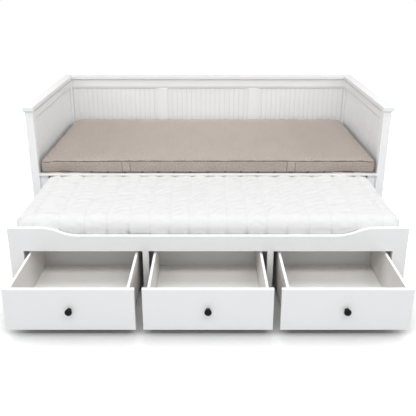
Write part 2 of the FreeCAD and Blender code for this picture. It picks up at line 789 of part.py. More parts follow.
def caster_pin(name, sign, start, y, radius, length):
    """A riveted pin with a head outside the bracket."""
    pin_radius = D.pin_diameter / 2
    head_radius = pin_radius + D.pin_head / 2
    profile = [
        (ZERO, ZERO),
        (length, ZERO),
        (length, head_radius),
        (length - D.pin_head, head_radius),
        (length - D.pin_head, pin_radius),
        (ZERO, pin_radius),
    ]
    if sign < 0:
        profile = [(length - along, out) for along, out in profile]
    return turned(f"{name}_pin", "XZ_Plane", "H_Axis", straight_outline(profile), (start, y, radius))


def wheel(name, inner_face, sign, y, radius):
    """A moulded wheel with rounded shoulders and a bore for its pin."""
    bore = D.pin_diameter / 2 + D.pin_clearance
    shoulder = D.wheel_rounding
    profile = [
        (ZERO, bore),
        (ZERO, radius - shoulder),
        (shoulder / 2, radius - shoulder / 4),
        (shoulder, radius),
        (D.wheel_width - shoulder, radius),
        (D.wheel_width - shoulder / 2, radius - shoulder / 4),
        (D.wheel_width, radius - shoulder),
        (D.wheel_width, bore),
    ]
    x = inner_face if sign > 0 else inner_face - D.wheel_width
    title = f"{name}_wheel"
    keep(title, turned(title, "XZ_Plane", "H_Axis", straight_outline(profile), (x, y, radius)))


# Drawers

drawer_front_face = front_face - D.drawer_out
drawer_inner_face = drawer_front_face + D.drawer_front_thickness
drawer_front_height = opening_height - D.drawer_top_gap - D.drawer_floor_gap
side_low = D.drawer_floor_gap + D.drawer_side_rise
side_top = D.drawer_floor_gap + drawer_front_height - D.drawer_side_drop
bottom_low = D.drawer_floor_gap + D.drawer_bottom_rise
bottom_groove_low = bottom_low - side_low - D.groove_clearance
bottom_groove_high = bottom_groove_low + D.drawer_bottom_thickness + D.groove_clearance * 2
bottom_groove_depth = D.drawer_bottom_tongue + D.groove_clearance


def drawer_side_outline(sign):
    """Section of a drawer side, grooved for the bottom on its inner face."""
    inner = D.drawer_board * sign
    groove = (D.drawer_board - bottom_groove_depth) * sign
    height = side_top - side_low
    return straight_outline([
        (ZERO, ZERO),
        (inner, ZERO),
        (inner, bottom_groove_low),
        (groove, bottom_groove_low),
        (groove, bottom_groove_high),
        (inner, bottom_groove_high),
        (inner, height),
        (ZERO, height),
    ])


def knob(name, x):
    """A turned knob: a small foot, a narrow neck, a full rim and a shallow domed face."""
    length = D.knob_length.value
    rim = D.knob_rim_radius.value
    ball = D.knob_diameter.value / 2
    neck = D.knob_neck_diameter.value / 2
    foot = D.knob_base_diameter.value / 2
    widest_share, foot_share, foot_taper_share = 0.62, 0.12, 0.82
    widest = length * widest_share
    rim_out = ball - rim
    # The dome's centre lies on the axis, so that the dome meets the rim without a crease.
    reach = length - rim
    dome_centre = (reach ** 2 - widest ** 2 - rim_out ** 2) / (2 * (reach - widest))
    dome_radius = length - dome_centre
    lean = math.atan2(rim_out, widest - dome_centre)
    under_rim_share = 5 / 6
    under = math.pi * under_rim_share

    def spot(along, out):
        return FreeCAD.Vector(-along, out, 0)

    centre = spot(0, 0)
    foot_edge = spot(0, foot)
    foot_top = spot(length * foot_share, foot * foot_taper_share)
    neck_start = spot(length * foot_share, neck)
    neck_end = spot(length * foot_share + D.knob_neck_length.value, neck)
    ball_start = spot(widest + rim * math.cos(under), rim_out + rim * math.sin(under))
    rim_top = spot(widest, ball)
    dome_start = spot(widest + rim * math.cos(lean), rim_out + rim * math.sin(lean))
    dome_middle = spot(dome_centre + dome_radius * math.cos(lean / 2), dome_radius * math.sin(lean / 2))
    tip = spot(length, 0)
    edges = [
        Part.LineSegment(centre, foot_edge),
        Part.LineSegment(foot_edge, foot_top),
        Part.LineSegment(foot_top, neck_start),
        Part.LineSegment(neck_start, neck_end),
        Part.LineSegment(neck_end, ball_start),
        Part.ArcOfCircle(ball_start, rim_top, dome_start),
        Part.ArcOfCircle(dome_start, dome_middle, tip),
        Part.LineSegment(tip, centre),
    ]
    middle = D.drawer_floor_gap + drawer_front_height / 2
    keep(name, turned(name, "YZ_Plane", "H_Axis", edges, (x, drawer_front_face, middle)))


def drawer(side, x):
    """Front, sides, back, bottom and knob of one drawer, centred on x."""
    half = opening_width / 2
    half_drawer_front = half - D.drawer_side_gap
    outline = rectangle(-half_drawer_front, ZERO, half_drawer_front, drawer_front_height)
    place = (x, drawer_front_face, D.drawer_floor_gap)
    front = extruded(f"{side}_drawer_front", "XZ_Plane", outline, D.drawer_front_thickness, place)

    def front_edges(direction, centre):
        return abs(direction.y) < 0.1 and centre.y < D.drawer_front_thickness.value / 2

    keep(f"{side}_drawer_front", rounded(front, D.drawer_front_rounding, front_edges))

    outer = half - D.drawer_inset
    sides = []
    for hand, sign in (("left", 1), ("right", -1)):
        place = (x - outer * sign, drawer_inner_face, side_low)
        name = f"{side}_drawer_{hand}_side"
        sides.append(extruded(name, "XZ_Plane", drawer_side_outline(sign), D.drawer_depth, place))
    keep(f"{side}_drawer_sides", group(f"{side}_drawer_sides", sides))

    inner = outer - D.drawer_board
    width = inner * 2
    bottom_top = bottom_low + D.drawer_bottom_thickness
    corner = (x - inner, drawer_inner_face + D.drawer_depth - D.drawer_board, bottom_top)
    name = f"{side}_drawer_back"
    keep(name, board(name, corner, width, D.drawer_board, side_top - bottom_top))

    tongue = D.drawer_bottom_tongue
    corner = (x - inner - tongue, drawer_inner_face, bottom_low)
    name = f"{side}_drawer_bottom"
    size = (width + tongue * 2, D.drawer_depth, D.drawer_bottom_thickness)
    keep(name, board(name, corner, *size))
    knob(f"{side}_knob", x)


def fixed_runners():
    """Steel angles on the side boards and partitions, one under each drawer side."""
    steel = D.runner_thickness
    reach = D.frame_board_step + D.drawer_inset + D.drawer_board
    shelf_top = side_low - D.runner_clearance
    length = D.drawer_depth - D.runner_end_gap
    runners = []
    for number in (-1, 0, 1):
        for sign in (-1, 1):
            face = opening_pitch * number + (opening_width / 2 + D.frame_board_step) * sign
            outline = straight_outline([
                (ZERO, ZERO),
                (-reach * sign, ZERO),
                (-reach * sign, steel),
                (-steel * sign, steel),
                (-steel * sign, D.runner_height),
                (ZERO, D.runner_height),
            ])
            place = (face, front_rear_face, shelf_top - steel)
            name = f"runner_{len(runners)}"
            runners.append(extruded(name, "XZ_Plane", outline, length, place))
    keep("fixed_runners", group("fixed_runners", runners))


def export_nodes():
    """Writes one STEP file for each node once every object in the document is sound."""
    doc.recompute()
    for item in doc.Objects:
        if "Invalid" in item.State or "Error" in item.State:
            raise RuntimeError(f"{item.Name} did not build: {item.State}")
    for label, feature in NODES.items():
        if feature.Shape.isNull() or not feature.Shape.isValid():
            raise RuntimeError(f"{label} has no valid shape")
    os.makedirs("parts", exist_ok=True)
    for label, feature in NODES.items():
        feature.Shape.exportStep(os.path.join("parts", f"{label}.step"))
    print(f"wrote {len(NODES)} parts")


side_frame("left", -1)
side_frame("right", 1)
back()
foot_glides()
bed_base()
upper_mattress()
wave_board()
front_stiles()
lower_carcase()
stop_guides()
lower_mattress(front_rear_face, lower_rear)
fixed_runners()
casters()
for drawer_name, place_number in (("left", -1), ("middle", 0), ("right", 1)):
    drawer(drawer_name, opening_pitch * place_number)
export_nodes()
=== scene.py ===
import logging
import math
from dataclasses import dataclass
from enum import Enum
from itertools import product
from typing import Callable, Iterable, Sequence

import bpy
from mathutils import Matrix, Vector, noise
from mathutils.bvhtree import BVHTree


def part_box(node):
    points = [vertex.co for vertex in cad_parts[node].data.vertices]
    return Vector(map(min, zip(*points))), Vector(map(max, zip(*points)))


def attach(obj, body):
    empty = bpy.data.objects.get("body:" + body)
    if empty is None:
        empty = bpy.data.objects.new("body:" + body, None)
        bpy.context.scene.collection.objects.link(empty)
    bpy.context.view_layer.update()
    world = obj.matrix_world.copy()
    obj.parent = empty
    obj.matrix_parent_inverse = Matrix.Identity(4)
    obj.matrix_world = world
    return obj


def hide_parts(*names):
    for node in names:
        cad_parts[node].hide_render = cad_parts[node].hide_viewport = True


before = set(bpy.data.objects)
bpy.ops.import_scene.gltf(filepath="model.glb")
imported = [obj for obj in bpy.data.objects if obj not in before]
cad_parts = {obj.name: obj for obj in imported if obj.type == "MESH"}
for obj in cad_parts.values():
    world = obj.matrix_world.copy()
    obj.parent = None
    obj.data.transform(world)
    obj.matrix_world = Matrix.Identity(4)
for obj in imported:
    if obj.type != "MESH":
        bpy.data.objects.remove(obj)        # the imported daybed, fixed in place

# All lengths are in metres
Pair = tuple[float, float]
Triple = tuple[float, float, float]
Piece = bpy.types.Object
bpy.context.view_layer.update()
MM = 0.001
IMAGE_SIDE = 416         # the photograph's width and height in pixels
SENSOR = 36.0            # the camera's sensor in millimetres
ON_SIDE = 1e-6           # a point closer than this to the outer side lies on it
log = logging.getLogger("daybed")


class Grain(Enum):
    """The direction that the wood of a piece runs in."""

    X = "x"
    Y = "y"
    Z = "z"


# Shader building


def operator(operation: str, swapped: bool = False) -> Callable[..., "Signal"]:
    """A method that adds a Math node of an operation on a signal and its other term, if it has one.

    Args:
        operation: the node's operation.
        swapped: whether the other term comes first.

    Returns:
        The method.
    """
    def apply(*terms: "Signal | float") -> "Signal":
        """The node's output."""
        ordered = terms[::-1] if swapped else terms
        return terms[0].graph.node("ShaderNodeMath", {"operation": operation}, dict(enumerate(ordered)))

    return apply


class Signal:
    """A shader output with Python's operators: an operator adds a Math node.

    Besides the operators, floor is the whole part of a signal, wave its sine, and above is 1
    where it is over a limit and 0 elsewhere.
    """

    def __init__(self, graph: "Graph", output: bpy.types.NodeSocket) -> None:
        """Wraps one output of a node."""
        self.graph = graph
        self.output = output

    __add__ = __radd__ = operator("ADD")
    __sub__ = operator("SUBTRACT")
    __rsub__ = operator("SUBTRACT", swapped=True)
    __mul__ = operator("MULTIPLY")
    __truediv__ = operator("DIVIDE")
    __pow__ = operator("POWER")
    __mod__ = operator("FLOORED_MODULO")
    __abs__ = operator("ABSOLUTE")
    floor = operator("FLOOR")
    wave = operator("SINE")
    above = operator("GREATER_THAN")

    def clamped(self) -> "Signal":
        """self, kept between 0 and 1."""
        return self.graph.node("ShaderNodeClamp", None, {0: self})

    def mixed(self, other: "Signal", share: float) -> "Signal":
        """self with a share of another signal in it."""
        return self * (1.0 - share) + other * share

    def spread(self, contrast: float) -> "Signal":
        """self about its middle of a half, spread out by a contrast."""
        return (self - 0.5) * contrast

    def stripes(self, pitch: float) -> "Signal":
        """Soft stripes between 0 and 1 that come back at each pitch of self."""
        return (self * (math.tau / pitch)).wave() * 0.5 + 0.5

    def ridges(self) -> "Signal":
        """Round ridges between 0 and 1, one for each whole step of self."""
        return abs((self * math.pi).wave())

    def grown(self, zone: Pair) -> "Signal":
        """0 before the zone's first number, and 1 from its second number beyond that."""
        return ((self - zone[0]) / zone[1]).clamped()

    def sibling(self, name: str) -> "Signal":
        """Another output of the same node."""
        return Signal(self.graph, self.output.node.outputs[name])


class Graph:
    """The node tree of one material or of the world."""

    def __init__(self, tree: bpy.types.NodeTree) -> None:
        """Empties the tree."""
        self.tree = tree
        tree.nodes.clear()

    @staticmethod
    def _socket(sockets: Iterable[bpy.types.NodeSocket], key: int | str) -> bpy.types.NodeSocket:
        """Finds a socket by its number, its identifier or its name."""
        found = list(sockets)
        if isinstance(key, int):
            return found[key]
        by_identifier = [socket for socket in found if socket.identifier == key]
        return (by_identifier or [socket for socket in found if socket.name == key])[0]

    def node(self, kind: str, settings: dict | None = None, sockets: dict | None = None,
             output: int | str = 0) -> Signal:
        """Adds a node.

        Args:
            kind: type of the node.
            settings: its properties, set first.
            sockets: values or signals for its inputs, by number, identifier or name.
            output: the output that is returned.

        Returns:
            The chosen output.
        """
        made = self.tree.nodes.new(kind)
        for name, value in (settings or {}).items():
            setattr(made, name, value)
        for key, value in (sockets or {}).items():
            target = self._socket(made.inputs, key)
            if isinstance(value, Signal):
                self.tree.links.new(value.output, target)
            else:
                target.default_value = value
        return Signal(self, self._socket(made.outputs, output))

    def place(self) -> Signal:
        """Object coordinates, which are the frame's own."""
        return self.node("ShaderNodeTexCoord", output="Object")

    def axes(self, vector: Signal) -> tuple[Signal, Signal, Signal]:
        """The three parts of a vector."""
        split = self.node("ShaderNodeSeparateXYZ", None, {0: vector})
        return split, split.sibling("Y"), split.sibling("Z")

    def stretched(self, vector: Signal, scale: Sequence[float]) -> Signal:
        """A vector multiplied part by part."""
        return self.node("ShaderNodeVectorMath", {"operation": "MULTIPLY"}, {0: vector, 1: tuple(scale)})

    def shifted(self, vector: Signal, centre: Sequence[float]) -> Signal:
        """A place as it is seen from a centre."""
        shift = tuple(-part for part in centre)
        return self.node("ShaderNodeVectorMath", {"operation": "ADD"}, {0: vector, 1: shift})

    def mark(self, name: str) -> Signal:
        """A value that the piece's mesh carries for each of its points."""
        return self.node("ShaderNodeAttribute", {"attribute_name": name}, None, "Fac")

    def noise(self, vector: Signal, scale: float = 1.0, detail: float = 2.0) -> Signal:
        """Soft noise between 0 and 1."""
        return self.node("ShaderNodeTexNoise", None, {"Vector": vector, "Scale": scale, "Detail": detail})

    def blend(self, share: Signal, low: Sequence[float] | Signal, high: Sequence[float] | Signal) -> Signal:
        """A colour between two others."""
        colours = [item if isinstance(item, Signal) else opaque(item) for item in (low, high)]
        sockets = {"Factor_Float": share, "A_Color": colours[0], "B_Color": colours[1]}
        return self.node("ShaderNodeMix", {"data_type": "RGBA"}, sockets, "Result_Color")

    def bump(self, height: Signal, depth: float) -> Signal:
        """A normal for a height between 0 and 1 that stands for a depth in metres."""
        return self.node("ShaderNodeBump", None, {"Height": height, "Distance": depth}, "Normal")

    def surface(self, **sockets: object) -> None:
        """Ends the material in a Principled shader; underscores in a name stand for spaces."""
        named = {key.replace("_", " "): value for key, value in sockets.items()}
        shader = self.node("ShaderNodeBsdfPrincipled", None, named, "BSDF")
        self.node_output(shader)

    def node_output(self, shader: Signal, kind: str = "ShaderNodeOutputMaterial") -> None:
        """Ends the tree in a shader."""
        end = self.tree.nodes.new(kind)
        self.tree.links.new(shader.output, end.inputs["Surface"])


def opaque(colour: Sequence[float]) -> tuple[float, float, float, float]:
    """A colour with full alpha."""
    return (colour[0], colour[1], colour[2], 1.0)


def shade(colour: Sequence[float], factor: float) -> Triple:
    """A lighter or darker copy of a colour."""
    return (colour[0] * factor, colour[1] * factor, colour[2] * factor)


# Finishes


def along_grain(grain: Grain, along: float, across: float) -> list[float]:
    """Noise scales along and across the grain, as a vector of the three axes."""
    return [along if axis is grain else across for axis in Grain]


@dataclass(frozen=True)
class Finish:
    """A finish: one material, made when it is first asked for, clouded from a dark to a light shade."""

    title: str
    colour: Triple
    dark: float = 0.98
    light: float = 1.0

    def build(self, graph: Graph) -> None:
        """Fills the graph with the finish's nodes."""
        raise NotImplementedError

    def clouded(self, graph: Graph, share: Signal) -> Signal:
        """The finish's colour, between its dark and its light shade."""
        return graph.blend(share, shade(self.colour, self.dark), shade(self.colour, self.light))

    def material(self) -> bpy.types.Material:
        """The material of this finish."""
        found = bpy.data.materials.get(self.title)
        if found is None:
            found = bpy.data.materials.new(self.title)
            found.use_nodes = True
            self.build(Graph(found.node_tree))
        return found


@dataclass(frozen=True)
class Lacquer(Finish):
    """Opaque white lacquer on solid wood, with a trace of the grain and of the spray."""

    dark: float = 0.975
    light: float = 1.012
    grain: Grain = Grain.Z
    fibre_scales: Pair = (5.0, 190.0)
    peel_scale: float = 620.0
    cloud_scale: float = 2.6
    fibre_share: float = 0.3
    peel_share: float = 0.45
    relief: float = 0.11 * MM
    sheen_level: float = 0.34
    cloud_sheen: float = 0.08
    fibre_sheen: float = 0.06
    refraction: float = 1.48
    # tone of the painted shade in grooves, at joints and under caps
    painted_shade_tone: float = 0.42

    def build(self, graph: Graph) -> None:
        """Cloudy tone, stretched grain under the lacquer and a fine orange peel."""
        place = graph.place()
        fibre = graph.noise(graph.stretched(place, along_grain(self.grain, *self.fibre_scales)), detail=4.0)
        peel = graph.noise(place, self.peel_scale, 1.0)
        cloud = graph.noise(place, self.cloud_scale, 3.0)
        tone = self.with_painted_shade(graph, place, self.clouded(graph, cloud.mixed(fibre, self.fibre_share)))
        rough = self.sheen_level + cloud * self.cloud_sheen + fibre * self.fibre_sheen
        normal = graph.bump(fibre.mixed(peel, self.peel_share), self.relief)
        graph.surface(Base_Color=tone, Roughness=rough, IOR=self.refraction, Normal=normal)

    def with_painted_shade(self, graph: Graph, place: Signal, tone: Signal) -> Signal:
        """The tone as it is: a plain board gets no painted shade."""
        return tone


@dataclass(frozen=True)
class Beadboard(Lacquer):
    """Lacquered beadboard, with painted shade in its grooves and at the joints at its two ends."""

    across: Grain = Grain.X
    middle: float = 0.0
    reach: float = 1.0
    phase: float = 0.0
    pitch: float = 35.0 * MM
    groove: float = 3.2 * MM
    joint: float = 4.5 * MM
    # shares of painted shade in the grooves and at the end joints
    groove_shade_share: float = 0.3
    joint_shade_share: float = 0.85

    def with_painted_shade(self, graph: Graph, place: Signal, tone: Signal) -> Signal:
        """Painted shade in the grooves, which lie evenly about the middle, and at the joints."""
        x, y, _ = graph.axes(place)
        offset = (x if self.across is Grain.X else y) - self.middle
        step = (offset / self.pitch + (self.phase + 0.5)) % 1.0
        from_groove = abs(step - 0.5) * self.pitch
        line = (1.0 - from_groove / self.groove).clamped()
        edge = (1.0 - (self.reach - abs(offset)) / self.joint).clamped()
        share = (line * self.groove_shade_share + edge * self.joint_shade_share).clamped()
        return graph.blend(share, tone, shade(self.colour, self.painted_shade_tone))


@dataclass(frozen=True)
class CappedLacquer(Lacquer):
    """Lacquer on a piece that carries a cap: the shadow under the cap's overhang is painted as a dark
    hairline at the joint.
    """

    top: float = 0.0
    # depth of the painted shadow below the cap
    joint: float = 5.0 * MM
    joint_shade_share: float = 0.9
    fade: float = 0.6

    def with_painted_shade(self, graph: Graph, place: Signal, tone: Signal) -> Signal:
        """Painted shadow just below the top of the piece."""
        share = (1.0 - (self.top - graph.axes(place)[2]) / self.joint).clamped() ** self.fade
        return graph.blend(share * self.joint_shade_share, tone, shade(self.colour, self.painted_shade_tone))


@dataclass(frozen=True)
class Coating(Finish):
    """A thin coat: slow clouds of tone over a fine relief, which may be stretched along the piece."""

    grit_scales: Triple = (1100.0, 1100.0, 1100.0)
    grit_detail: float = 2.0
    grit_depth: float = 0.06 * MM
    grit_sheen: float = 0.14
    cloud_scale: float = 30.0
    cloud_detail: float = 2.0
    cloud_sheen: float = 0.0
    sheen_level: float = 0.46
    metal: float = 0.0

    def build(self, graph: Graph) -> None:
        """A fine texture, and a slow change of tone and sheen."""
        place = graph.place()
        grit = graph.noise(graph.stretched(place, self.grit_scales), detail=self.grit_detail)
        cloud = graph.noise(place, self.cloud_scale, self.cloud_detail)
        tone = self.edged(graph, place, self.clouded(graph, cloud))
        rough = self.sheen_level + cloud * self.cloud_sheen + grit * self.grit_sheen
        normal = graph.bump(grit, self.grit_depth)
        graph.surface(Base_Color=tone, Roughness=rough, Metallic=self.metal, Normal=normal)

    def edged(self, graph: Graph, place: Signal, tone: Signal) -> Signal:
        """The tone as it is: a plain coat has no edge tape."""
        return tone


@dataclass(frozen=True)
class Foil(Coating):
    """Smooth foil on board, a little warmer than the lacquer, with a faint pore and white edge tape."""

    dark: float = 0.985
    light: float = 1.01
    grit_scales: Triple = (900.0, 240.0, 900.0)
    grit_depth: float = 0.05 * MM
    grit_sheen: float = 0.1
    cloud_scale: float = 4.0
    sheen_level: float = 0.42
    edge_height: float = 10.0
    tape: Triple = (0.90, 0.90, 0.90)

    def edged(self, graph: Graph, place: Signal, tone: Signal) -> Signal:
        """White tape above the edge height."""
        return graph.blend(graph.axes(place)[2].above(self.edge_height), tone, self.tape)


@dataclass(frozen=True)
class Pine(Finish):
    """Planed, untreated pine with its grain along the slats."""

    late_wood: Triple = (0.50, 0.33, 0.17)
    grain: Grain = Grain.Y
    slat_pitch: float = 0.09
    bearer_pitch: float = 0.3
    ring_scales: Pair = (1.4, 26.0)
    fibre_scales: Pair = (3.0, 420.0)
    knot_scales: Pair = (5.0, 21.0)
    ring_count: float = 9.0
    board_rings: float = 4.0
    ring_share: float = 0.55
    fibre_share: float = 0.35
    fibre_shade: float = 1.25
    board_share: float = 0.35
    board_shade: float = 1.12
    knot_radius: float = 0.16
    knot_edge: float = 14.0
    knot_share: float = 0.8
    knot_shade: float = 0.45
    relief_rings: float = 0.4
    relief: float = 0.25 * MM
    sheen_level: float = 0.56
    fibre_sheen: float = 0.16

    def build(self, graph: Graph) -> None:
        """Growth lines that wander along the board, another tone for each slat, and small knots."""
        place = graph.place()
        x, y, _ = graph.axes(place)
        number = (y / self.bearer_pitch if self.grain is Grain.X else x / self.slat_pitch).floor()
        board = graph.node("ShaderNodeTexWhiteNoise", {"noise_dimensions": "1D"}, {"W": number})
        drift = graph.noise(graph.stretched(place, along_grain(self.grain, *self.ring_scales)), detail=3.0)
        rings = (drift * self.ring_count + board * self.board_rings).stripes(1.0)
        fibre = graph.noise(graph.stretched(place, along_grain(self.grain, *self.fibre_scales)), detail=3.0)
        wood = graph.blend(rings ** 3.0 * self.ring_share, self.colour, self.late_wood)
        wood = graph.blend(fibre * self.fibre_share, wood, shade(self.late_wood, self.fibre_shade))
        pale = graph.blend(board * self.board_share, wood, shade(self.colour, self.board_shade))
        knots = graph.stretched(place, along_grain(self.grain, *self.knot_scales))
        cell = graph.node("ShaderNodeTexVoronoi", None, {"Vector": knots, "Scale": 1.0})
        knot = ((self.knot_radius - cell) * self.knot_edge).clamped()
        colour = graph.blend(knot * self.knot_share, pale, shade(self.late_wood, self.knot_shade))
        rough = self.sheen_level + fibre * self.fibre_sheen
        normal = graph.bump(fibre.mixed(rings, self.relief_rings), self.relief)
        graph.surface(Base_Color=colour, Roughness=rough, Normal=normal)


@dataclass(frozen=True)
class KnobLacquer(Finish):
    """Black-brown lacquer on a turned knob, rubbed to brown at its foot and its rim."""

    rubbed: Triple = (0.115, 0.062, 0.034)
    centre: Triple = (0.0, 0.0, 0.0)
    foot_depth: float = 7.0 * MM
    foot_wear: float = 0.35
    rim_radius: float = 16.5 * MM
    rim_share: float = 0.93
    rim_wear: float = 0.12
    speckle_scale: float = 420.0
    least_speckle: float = 0.35
    turning_pitch: float = 0.7 * MM
    turning_share: float = 0.3
    relief: float = 0.04 * MM
    sheen_level: float = 0.34
    speckle_sheen: float = 0.12
    mirror_level: float = 0.12

    def build(self, graph: Graph) -> None:
        """Brown where the lacquer is thin, and faint turning lines round the axis."""
        place = graph.shifted(graph.place(), self.centre)
        x, y, z = graph.axes(place)
        radius = (x * x + z * z) ** 0.5
        speckle = graph.noise(place, self.speckle_scale, 3.0)
        foot = ((y + self.foot_depth) / self.foot_depth).clamped()
        rim = (radius / self.rim_radius).above(self.rim_share) * self.rim_wear
        worn = ((foot * self.foot_wear + rim) * (speckle + self.least_speckle)).clamped()
        relief = speckle.mixed(radius.stripes(self.turning_pitch), self.turning_share)
        graph.surface(
            Base_Color=graph.blend(worn, self.colour, self.rubbed),
            Roughness=self.sheen_level + speckle * self.speckle_sheen,
            Specular_IOR_Level=self.mirror_level, Normal=graph.bump(relief, self.relief))


@dataclass(frozen=True)
class CasterPlastic(Finish):
    """A caster wheel: hard grey hub, softer darker tread, dust on the tread."""

    tread: Triple = (0.055, 0.055, 0.058)
    dust: Triple = (0.26, 0.25, 0.235)
    axle: Triple = (0.0, 0.0, 0.0)
    tread_from: float = 19.5 * MM
    ring_width: float = 0.6 * MM
    grit_scale: float = 900.0
    patch_scale: float = 160.0
    dust_share: float = 0.55
    grit_share: float = 0.2
    relief: float = 0.3 * MM
    sheen_level: float = 0.42
    tread_sheen: float = 0.2
    grit_sheen: float = 0.1

    def build(self, graph: Graph) -> None:
        """Tread beyond a radius from the axle, with dust where it runs."""
        place = graph.shifted(graph.place(), self.axle)
        _, y, z = graph.axes(place)
        radius = (y * y + z * z) ** 0.5
        outer = radius.above(self.tread_from)
        grit = graph.noise(place, self.grit_scale, 2.0)
        patches = graph.noise(place, self.patch_scale, 4.0)
        ring = (self.ring_width - abs(radius - self.tread_from)).above(0.0)
        body = graph.blend(outer, self.colour, self.tread)
        dusty = graph.blend(outer * patches * self.dust_share, body, self.dust)
        rough = self.sheen_level + outer * self.tread_sheen + grit * self.grit_sheen
        normal = graph.bump((1.0 - ring).mixed(grit, self.grit_share), self.relief)
        graph.surface(Base_Color=dusty, Roughness=rough, Normal=normal)


@dataclass(frozen=True)
class Cloth(Finish):
    """A fabric, laid out in metres by the piece's UV map, with painted shade along seams that the piece
    marks.
    """

    painted_seam_shade: Triple = (0.5, 0.5, 0.5)
    sheen: float = 0.2
    sheen_spread: float = 0.5
    roughness: float = 0.85

    def laid_out(self, graph: Graph) -> Signal:
        """The place on the flat cloth."""
        return graph.node("ShaderNodeUVMap", {"uv_map": CLOTH_MAP})

    def covered(self, graph: Graph, tone: Signal, normal: Signal) -> None:
        """Ends the material, with the seams' painted shade over the cloth's tone."""
        sewn = graph.blend(graph.mark(SEAM_AND_SHADE_MARK), tone, self.painted_seam_shade)
        graph.surface(
            Base_Color=sewn, Roughness=self.roughness, Sheen_Weight=self.sheen,
            Sheen_Roughness=self.sheen_spread, Normal=normal)


@dataclass(frozen=True)
class WovenCover(Cloth):
    """Taupe basket weave of slubby melange yarn."""

    # colour of the painted shade in the seam, under the hem and on the border
    painted_seam_shade: Triple = (0.060, 0.052, 0.047)
    sheen: float = 0.22
    sheen_spread: float = 0.45
    roughness: float = 0.88
    shadow: Triple = (0.340, 0.282, 0.245)
    bright: Triple = (0.582, 0.503, 0.450)
    pitch: float = 1.5 * MM
    weft_height: float = 0.9
    slub_scale: float = 45.0
    mottle_scale: float = 105.0
    cloud_scales: Triple = (9.0, 4.0, 1.0)
    yarn_contrast: float = 1.7
    mottle_contrast: float = 1.8
    cloud_contrast: float = 3.0
    worn_share: float = 0.3
    worn_shade: float = 0.84
    gap_share: float = 0.4
    gap_shade: float = 0.6
    yarn_share: float = 0.2
    relief: float = 0.35 * MM

    def build(self, graph: Graph) -> None:
        """Warp over weft by turns, yarns of uneven tone, and soft mottling."""
        place = self.laid_out(graph)
        u, v, _ = graph.axes(place)
        warp_place = u / self.pitch
        weft_place = v / self.pitch
        over = (warp_place.floor() + weft_place.floor()) % 2.0
        height = over * warp_place.ridges() + (1.0 - over) * weft_place.ridges() * self.weft_height
        thread_scale = 1.0 / self.pitch
        slub_u = graph.noise(graph.stretched(place, (thread_scale, self.slub_scale, 1.0)), detail=2.0)
        slub_v = graph.noise(graph.stretched(place, (self.slub_scale, thread_scale, 1.0)), detail=2.0)
        yarn = over * slub_u + (1.0 - over) * slub_v
        mottle = graph.noise(place, self.mottle_scale, 4.0)
        cloud = graph.noise(graph.stretched(place, self.cloud_scales), detail=3.0)
        melange = yarn.spread(self.yarn_contrast) + mottle.spread(self.mottle_contrast)
        tone = graph.blend((melange + 0.5).clamped(), self.shadow, self.bright)
        worn = (cloud.spread(self.cloud_contrast) + 0.5).clamped()
        tone = graph.blend(worn * self.worn_share, tone, shade(self.colour, self.worn_shade))
        # painted shade in the gaps between the yarns
        tone = graph.blend((1.0 - height) ** 3.0 * self.gap_share, tone, shade(self.shadow, self.gap_shade))
        self.covered(graph, tone, graph.bump(height.mixed(yarn, self.yarn_share), self.relief))


@dataclass(frozen=True)
class Ticking(Cloth):
    """White knitted mattress ticking, with painted shade in its seams and its quilting."""

    dark: float = 0.97
    light: float = 1.01
    painted_seam_shade: Triple = (0.455, 0.455, 0.455)
    sheen: float = 0.18
    roughness: float = 0.82
    rib: float = 1.3 * MM
    course: float = 1.04 * MM
    course_share: float = 0.4
    wobble_scale: float = 260.0
    wobble: float = 0.35
    stagger: float = 0.5
    cloud_scale: float = 9.0
    # painted shade in the quilting strokes
    quilt_share: float = 0.5
    quilt_shade: float = 0.86
    relief: float = 0.25 * MM

    def build(self, graph: Graph) -> None:
        """Fine knitted ribs, painted shade in the seams and the quilting strokes, and a slow cloud."""
        place = self.laid_out(graph)
        u, v, _ = graph.axes(place)
        wobble = graph.noise(place, self.wobble_scale, 1.0)
        rib = (u / self.rib + wobble * self.wobble).ridges()
        course = (v / self.course + rib * self.stagger).ridges()
        tone = self.clouded(graph, graph.noise(place, self.cloud_scale, 3.0))
        quilting = graph.mark(QUILT_SHADE_MARK) * self.quilt_share
        quilted = graph.blend(quilting, tone, shade(self.colour, self.quilt_shade))
        self.covered(graph, quilted, graph.bump(rib.mixed(course, self.course_share), self.relief))


@dataclass(frozen=True)
class Thread(Finish):
    """Twisted sewing thread."""

    dark: float = 0.7
    twist_pitch: float = 0.9 * MM
    relief: float = 0.1 * MM
    roughness: float = 0.7

    def build(self, graph: Graph) -> None:
        """A diagonal twist over an even tone."""
        x, y, z = graph.axes(graph.place())
        twist = (x + z - y).stripes(self.twist_pitch)
        normal = graph.bump(twist, self.relief)
        graph.surface(Base_Color=self.clouded(graph, twist), Roughness=self.roughness, Normal=normal)


CLOTH_MAP = "cloth"
# the cloth's marks: painted shade of seams, hems and quilting; the upper cover's seam mark first holds the
# seam's place
SEAM_AND_SHADE_MARK = "seam"
QUILT_SHADE_MARK = "quilting"
ALONG_MARK = "cloth_along"
ACROSS_MARK = "cloth_across"
WHITE = (0.866, 0.872, 0.878)
PINE_TONE = (0.76, 0.60, 0.40)
LACQUERS = {grain: Lacquer(f"white_lacquer_{grain.value}", WHITE, grain=grain) for grain in Grain}
# a darker copy of the white lacquer for the caps: painted shade that tones down the light on their tops
SHADED_CAP_WHITE = shade(WHITE, 0.95)
SHADED_CAP_LACQUERS = {grain: Lacquer(f"shaded_cap_lacquer_{grain.value}", SHADED_CAP_WHITE, grain=grain) for grain in Grain}
